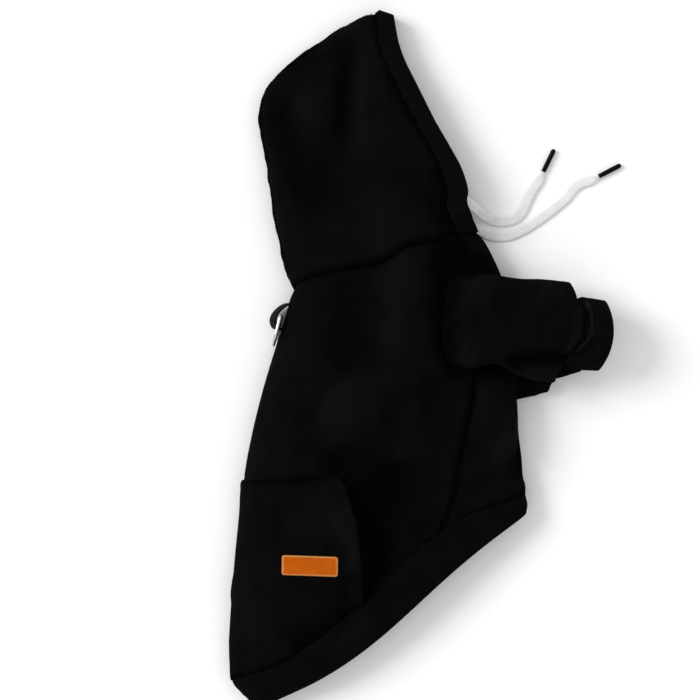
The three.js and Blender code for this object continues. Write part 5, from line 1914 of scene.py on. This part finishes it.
@dataclass(frozen=True)
class StrandFinish:
    """Cloth of strands in slanting columns: a rib knit, a plaited cord or webbing."""

    name: str
    # the painted shade in the valleys between strands
    valley_shade: Triple
    strand: Triple
    tint: Triple  # where the strands are blotched
    column: float
    row: float
    slant: float = 0.7
    depth: float = 0.0003
    roughness: float = 0.85
    specular: float = 0.1
    sheen: float = 0.02
    raised: Triple | None = None  # a painted highlight where a roll of the cloth catches the light, read from the attribute "crease"

    def make(self) -> Material:
        """Return the material."""
        tree, shader, made = new_material(self.name)
        sizes = {"Column": self.column, "Row": self.row, "Slant": self.slant}
        weave = tree.add("ShaderNodeGroup", sizes, node_tree=chevron_group()).outputs
        nap = tree.nap()
        mottled_and_highlit = tree.blend(tree.line(nap["Blotch"], 3.0, -1.1), self.strand, self.tint)
        # painted highlight on ridges, from the attribute "crease"
        if self.raised:
            mottled_and_highlit = tree.blend(tree.math("MULTIPLY", tree.read("crease"), -1.0), mottled_and_highlit, self.raised)
        height = tree.line(nap["Fibre"], 0.18, weave["Height"])
        tree.feed(shader, {
            # painted shade in the valleys between strands
            "Base Color": tree.blend(weave["Valley Shade"], mottled_and_highlit, self.valley_shade),
            "Roughness": tree.line(nap["Fibre"], 0.14, self.roughness - 0.07),
            "Normal": tree.bump(height, self.depth, 0.9),
            "Specular IOR Level": self.specular, "Sheen Weight": self.sheen,
        })
        return made


@dataclass(frozen=True)
class LeatherFinish:
    """Smooth tan leather with a paler cut edge."""

    name: str = "tan leather"
    face: Triple = (0.4, 0.074, 0.001)
    worn: Triple = (0.48, 0.098, 0.002)
    rim: Triple = (0.5, 0.2, 0.06)

    def make(self) -> Material:
        """Return the material, which reads the distance to the edge from the attribute "rim"."""
        tree, shader, made = new_material(self.name)
        place = tree.add("ShaderNodeTexCoord").outputs["Object"]
        pore = tree.add("ShaderNodeTexVoronoi", {"Vector": place, "Scale": 900.0}, feature="DISTANCE_TO_EDGE")
        nap = tree.nap(Fibre_Scale=2600.0, Blotch_Scale=140.0)
        face = tree.blend(tree.line(nap["Blotch"], 2.4, -0.8), self.face, self.worn)
        uneven = tree.line(nap["Fluff"], 0.5, -0.25)
        edge = tree.math("ADD", tree.line(tree.read("rim"), -1.0, 1.9), uneven)
        grain = tree.math("MULTIPLY", tree.math("MINIMUM", pore.outputs["Distance"], 0.12), 6.0)
        tree.feed(shader, {
            "Base Color": tree.blend(edge, face, self.rim),
            "Roughness": tree.line(nap["Fluff"], 0.25, 0.46),
            "Normal": tree.bump(tree.line(nap["Fibre"], 0.35, grain), 0.00012, 0.7),
            "Specular IOR Level": 0.05,
        })
        return made


@dataclass(frozen=True)
class HardFinish:
    """Plated steel or moulded plastic, with faint scuffs."""

    name: str
    colour: Triple
    scuffed: Triple
    metallic: float = 0.0
    roughness: float = 0.2
    specular: float = 0.5
    scuff_scale: float = 300.0

    def make(self) -> Material:
        """Return the material."""
        tree, shader, made = new_material(self.name)
        nap = tree.nap(Fibre_Scale=self.scuff_scale * 4, Blotch_Scale=self.scuff_scale, Streak=4.0)
        worn = tree.line(nap["Blotch"], 4.0, -2.1)
        tree.feed(shader, {
            "Base Color": tree.blend(worn, self.colour, self.scuffed),
            "Roughness": tree.line(nap["Fibre"], 0.16, self.roughness - 0.08),
            "Normal": tree.bump(nap["Fibre"], 0.00003, 0.5),
            "Metallic": self.metallic, "Specular IOR Level": self.specular,
        })
        return made


@dataclass(frozen=True)
class FloorFinish:
    """A plain pale studio floor."""

    name: str = "studio floor"
    colour: Triple = (0.93, 0.93, 0.93)
    shade: Triple = (0.915, 0.915, 0.918)

    def make(self) -> Material:
        """Return the material."""
        tree, shader, made = new_material(self.name)
        place = tree.add("ShaderNodeTexCoord").outputs["Object"]
        soft = tree.add("ShaderNodeTexNoise", {"Vector": place, "Scale": 6.0, "Detail": 2.0}).outputs[0]
        colour = tree.blend(soft, self.colour, self.shade)
        tree.feed(shader, {"Base Color": colour, "Roughness": 0.9, "Specular IOR Level": 0.1})
        return made


@dataclass
class Wardrobe:
    """All the finishes of the hoodie, made once."""

    def __post_init__(self) -> None:
        """Make the materials."""
        self.fleece = FleeceFinish().make()
        # The first colour of each strand finish is the painted shade in the valleys between its strands; the
        # knit's last colour is a painted highlight.
        self.knit = StrandFinish(
            "black rib knit", (0.0005, 0.0005, 0.0006), (0.0026, 0.00255, 0.0025), (0.0014, 0.0014, 0.0014),
            0.0011, 0.0015, depth=0.0003, specular=0.02, sheen=0.012, raised=(0.013, 0.013, 0.013),
        ).make()
        self.webbing = StrandFinish(
            "black webbing", (0.0005, 0.0005, 0.0006), (0.0024, 0.0024, 0.0026), (0.0016, 0.0016, 0.0017),
            0.0021, 0.0011, slant=1.6, depth=0.0003, roughness=0.75, specular=0.03, sheen=0.01,
        ).make()
        self.cotton = StrandFinish(
            "white plaited cotton", (0.55, 0.55, 0.545), (0.93, 0.93, 0.92), (0.86, 0.86, 0.85),
            0.0014, 0.0021, depth=0.0004, roughness=0.9, specular=0.15,
        ).make()
        self.thread = StrandFinish(
            "black thread", (0.001, 0.001, 0.001), (0.0035, 0.0035, 0.0036), (0.0025, 0.0025, 0.0026),
            0.0004, 0.0005, depth=0.0001, roughness=0.75, specular=0.06,
        ).make()
        self.leather = LeatherFinish().make()
        self.steel = HardFinish(
            "plated steel", (0.62, 0.61, 0.6), (0.45, 0.44, 0.43), metallic=1.0, roughness=0.24
        ).make()
        self.plastic = HardFinish(
            "black plastic", (0.0012, 0.0012, 0.0014), (0.004, 0.004, 0.0045), roughness=0.34, specular=0.06
        ).make()


# The studio


@dataclass
class Studio:
    """A plain pale floor, soft light from the left, and the camera straight above."""

    eye: Triple = (-0.0610, 0.0081, 2.0132)
    frame_width: float = 0.616  # what the camera sees across at the height of the cloth
    eye_height: float = 2.0
    world_light: float = 0.8
    key_light: float = 2.1
    key_place: Triple = (-1.75, 0.6, 1.2)
    key_spread: float = 0.5  # how wide the lamp looks from the cloth, in radians

    def build(self) -> None:
        """Make the floor, the lights and the camera."""
        mesh = bpy.data.meshes.new("floor")
        reach = 6.0
        corners = ((-1, -1), (1, -1), (1, 1), (-1, 1))
        mesh.from_pydata([(x * reach, y * reach, 0) for x, y in corners], [], [(0, 1, 2, 3)])
        mesh.materials.append(FloorFinish().make())
        place_object("floor", mesh)
        world = bpy.data.worlds.new("soft white")
        world.use_nodes = True
        back = world.node_tree.nodes["Background"]
        back.inputs["Color"].default_value = (1.0, 1.0, 1.0, 1.0)
        back.inputs["Strength"].default_value = self.world_light
        bpy.context.scene.world = world
        lamp = bpy.data.lights.new("key", "SUN")
        lamp.energy, lamp.angle = self.key_light, self.key_spread
        key = place_object("key", lamp)
        key.rotation_euler = (-Vector(self.key_place)).to_track_quat("-Z", "Y").to_euler()
        camera = place_object("camera", bpy.data.cameras.new("camera"))
        camera.data.sensor_width = 36.0
        camera.data.lens = 36.0 * self.eye_height / self.frame_width
        camera.location = self.eye
        bpy.context.scene.camera = camera
        bpy.context.scene.view_settings.view_transform = "Standard"
        LOG.info("studio: lens %.1f mm", camera.data.lens)


# All of it


@dataclass
class Hoodie:
    """The whole garment, built in the order in which its pieces need each other."""

    cloths: Wardrobe

    def __post_init__(self) -> None:
        """Make the sub-assemblies."""
        self.coat = Coat()
        self.pocket = Pocket(self.coat)
        self.hood = Hood(self.coat)
        self.sleeves = {side: Sleeve(side, self.coat) for side in Side}
        self.cords = {side: Drawstring(side, self.hood) for side in Side}
        self.leash = LeashPoint()
        self.stitches = StitchWork()

    def build_cords(self) -> None:
        """Make both ends of the drawstring."""
        for side, cord in self.cords.items():
            line, tip = cord.build_cord(self.cloths.cotton), cord.build_aglet(self.cloths.plastic)
            hand_over(line, "cord_cotton", f"drawstring_{side}")
            hand_over(tip, "plastic", f"aglet_{side}")
            cord.declare(line, tip)

    def build_coat(self) -> None:
        """Make the back, the belly, the sleeves and their cuffs, which cut each other."""
        fleece = self.cloths.fleece
        back, belly = self.coat.back_panel(Pocket.folds), self.coat.belly_panel()
        back_piece, belly_piece = back.build(fleece), belly.build(fleece)
        body = self.coat.filled(back, belly, SEAM_GAP)
        pieces = {}
        for side, sleeve in self.sleeves.items():
            cloth = sleeve.panel()
            pieces[side] = (cloth, sleeve.build_sleeve(cloth, body, fleece))
            hollow = sleeve.hollow(cloth)
            cut(back_piece, hollow)
            cut(belly_piece, hollow)
            remove(hollow)
            knit = sleeve.cuff()
            cuff = sleeve.build_cuff(knit, self.cloths.knit)
            hand_over(cuff, "rib_knit", f"cuff_{side}", cloth=knit)
            self.stitches.along(cloth, "end", 2.6, least_up=0.15)
        strap = self.leash.build_strap(body, self.cloths.webbing)
        hand_over(strap, "webbing", "leash_tab")
        hand_over(self.leash.build_ring(self.cloths.steel), "metal", "leash_ring", body=RING)
        remove(body)
        self.back = hand_over(back_piece, "fleece", "back_panel", cloth=back)
        hand_over(belly_piece, "fleece", "belly_panel", cloth=belly)
        for side, (cloth, piece) in pieces.items():
            under = [self.back] if side is Side.RIGHT else []
            hand_over(piece, "fleece", f"sleeve_{side}", cloth=cloth, rests_on=under)
        hem = self.coat.hem_panel()
        hand_over(hem.build(self.cloths.knit), "rib_knit", "hem_band", cloth=hem)
        self.stitches.along(back, "start", 3.0, least_up=0.1)
        self.stitches.along(belly, "start", 3.0, least_up=0.1)
        below_sleeve, beside_pocket = (-1e3, -1e3, 1e3, -66.0), (70.0, -1e3, 1e3, 1e3)
        self.stitches.along(back, "right", 3.0, box=below_sleeve)
        for distance in (3.0, 6.2):
            self.stitches.along(back, "end", distance, box=beside_pocket)
            self.stitches.along(belly, "end", distance)

    def build_pocket(self) -> None:
        """Make the pocket and its leather patch."""
        cloth = self.pocket.panel()
        piece = cloth.build(self.cloths.fleece)
        hand_over(piece, "fleece", "back_pocket", cloth=cloth, rests_on=[self.back])
        points, faces, away = self.pocket.patch(cloth)
        patch = mesh_object("leather_patch", points, faces, self.cloths.leather)
        give_value(patch, "rim", away)
        hand_over(patch, "leather", "pocket_patch")
        for distance in (3.0, 6.2):
            self.stitches.along(cloth, "start", distance)
            self.stitches.along(cloth, "end", distance)
        for distance in (9.0, 12.0):  # the turned-in edge of the hand opening
            self.stitches.along(cloth, "right", distance)

    def build_hood(self) -> None:
        """Make the hood's halves and casings with the holes that the cords leave by, and lay all stitches."""
        for side, cord in self.cords.items():
            cloth = self.hood.panel(side)
            piece = cloth.build(self.cloths.fleece)
            hand_over(piece, "fleece", f"hood_panel_{side}", cloth=cloth)
            tube, inner = self.hood.casing(side)
            casing = tube.build(self.cloths.fleece, inner)
            hole = cord.hole()
            cut(casing, hole)
            remove(hole)
            hand_over(casing, "fleece", f"face_casing_{side}", cloth=tube)
            if side is Side.RIGHT:
                self.stitches.along(cloth, "start", 3.0, least_up=0.1)
                self.stitches.along(cloth, "left", 3.4, least_up=0.1)
                self.stitches.along(cloth, "right", 2.4, least_up=0.1)
        hand_over(self.stitches.build("seam_stitches", self.cloths.thread), "fleece")


def main() -> None:
    """Build the studio and the hoodie."""
    logging.basicConfig(level=logging.INFO, format="%(message)s")
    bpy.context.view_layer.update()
    Studio().build()
    hoodie = Hoodie(Wardrobe())
    hoodie.build_cords()
    hoodie.build_coat()
    hoodie.build_pocket()
    hoodie.build_hood()


if __name__ == "__main__":
    main()
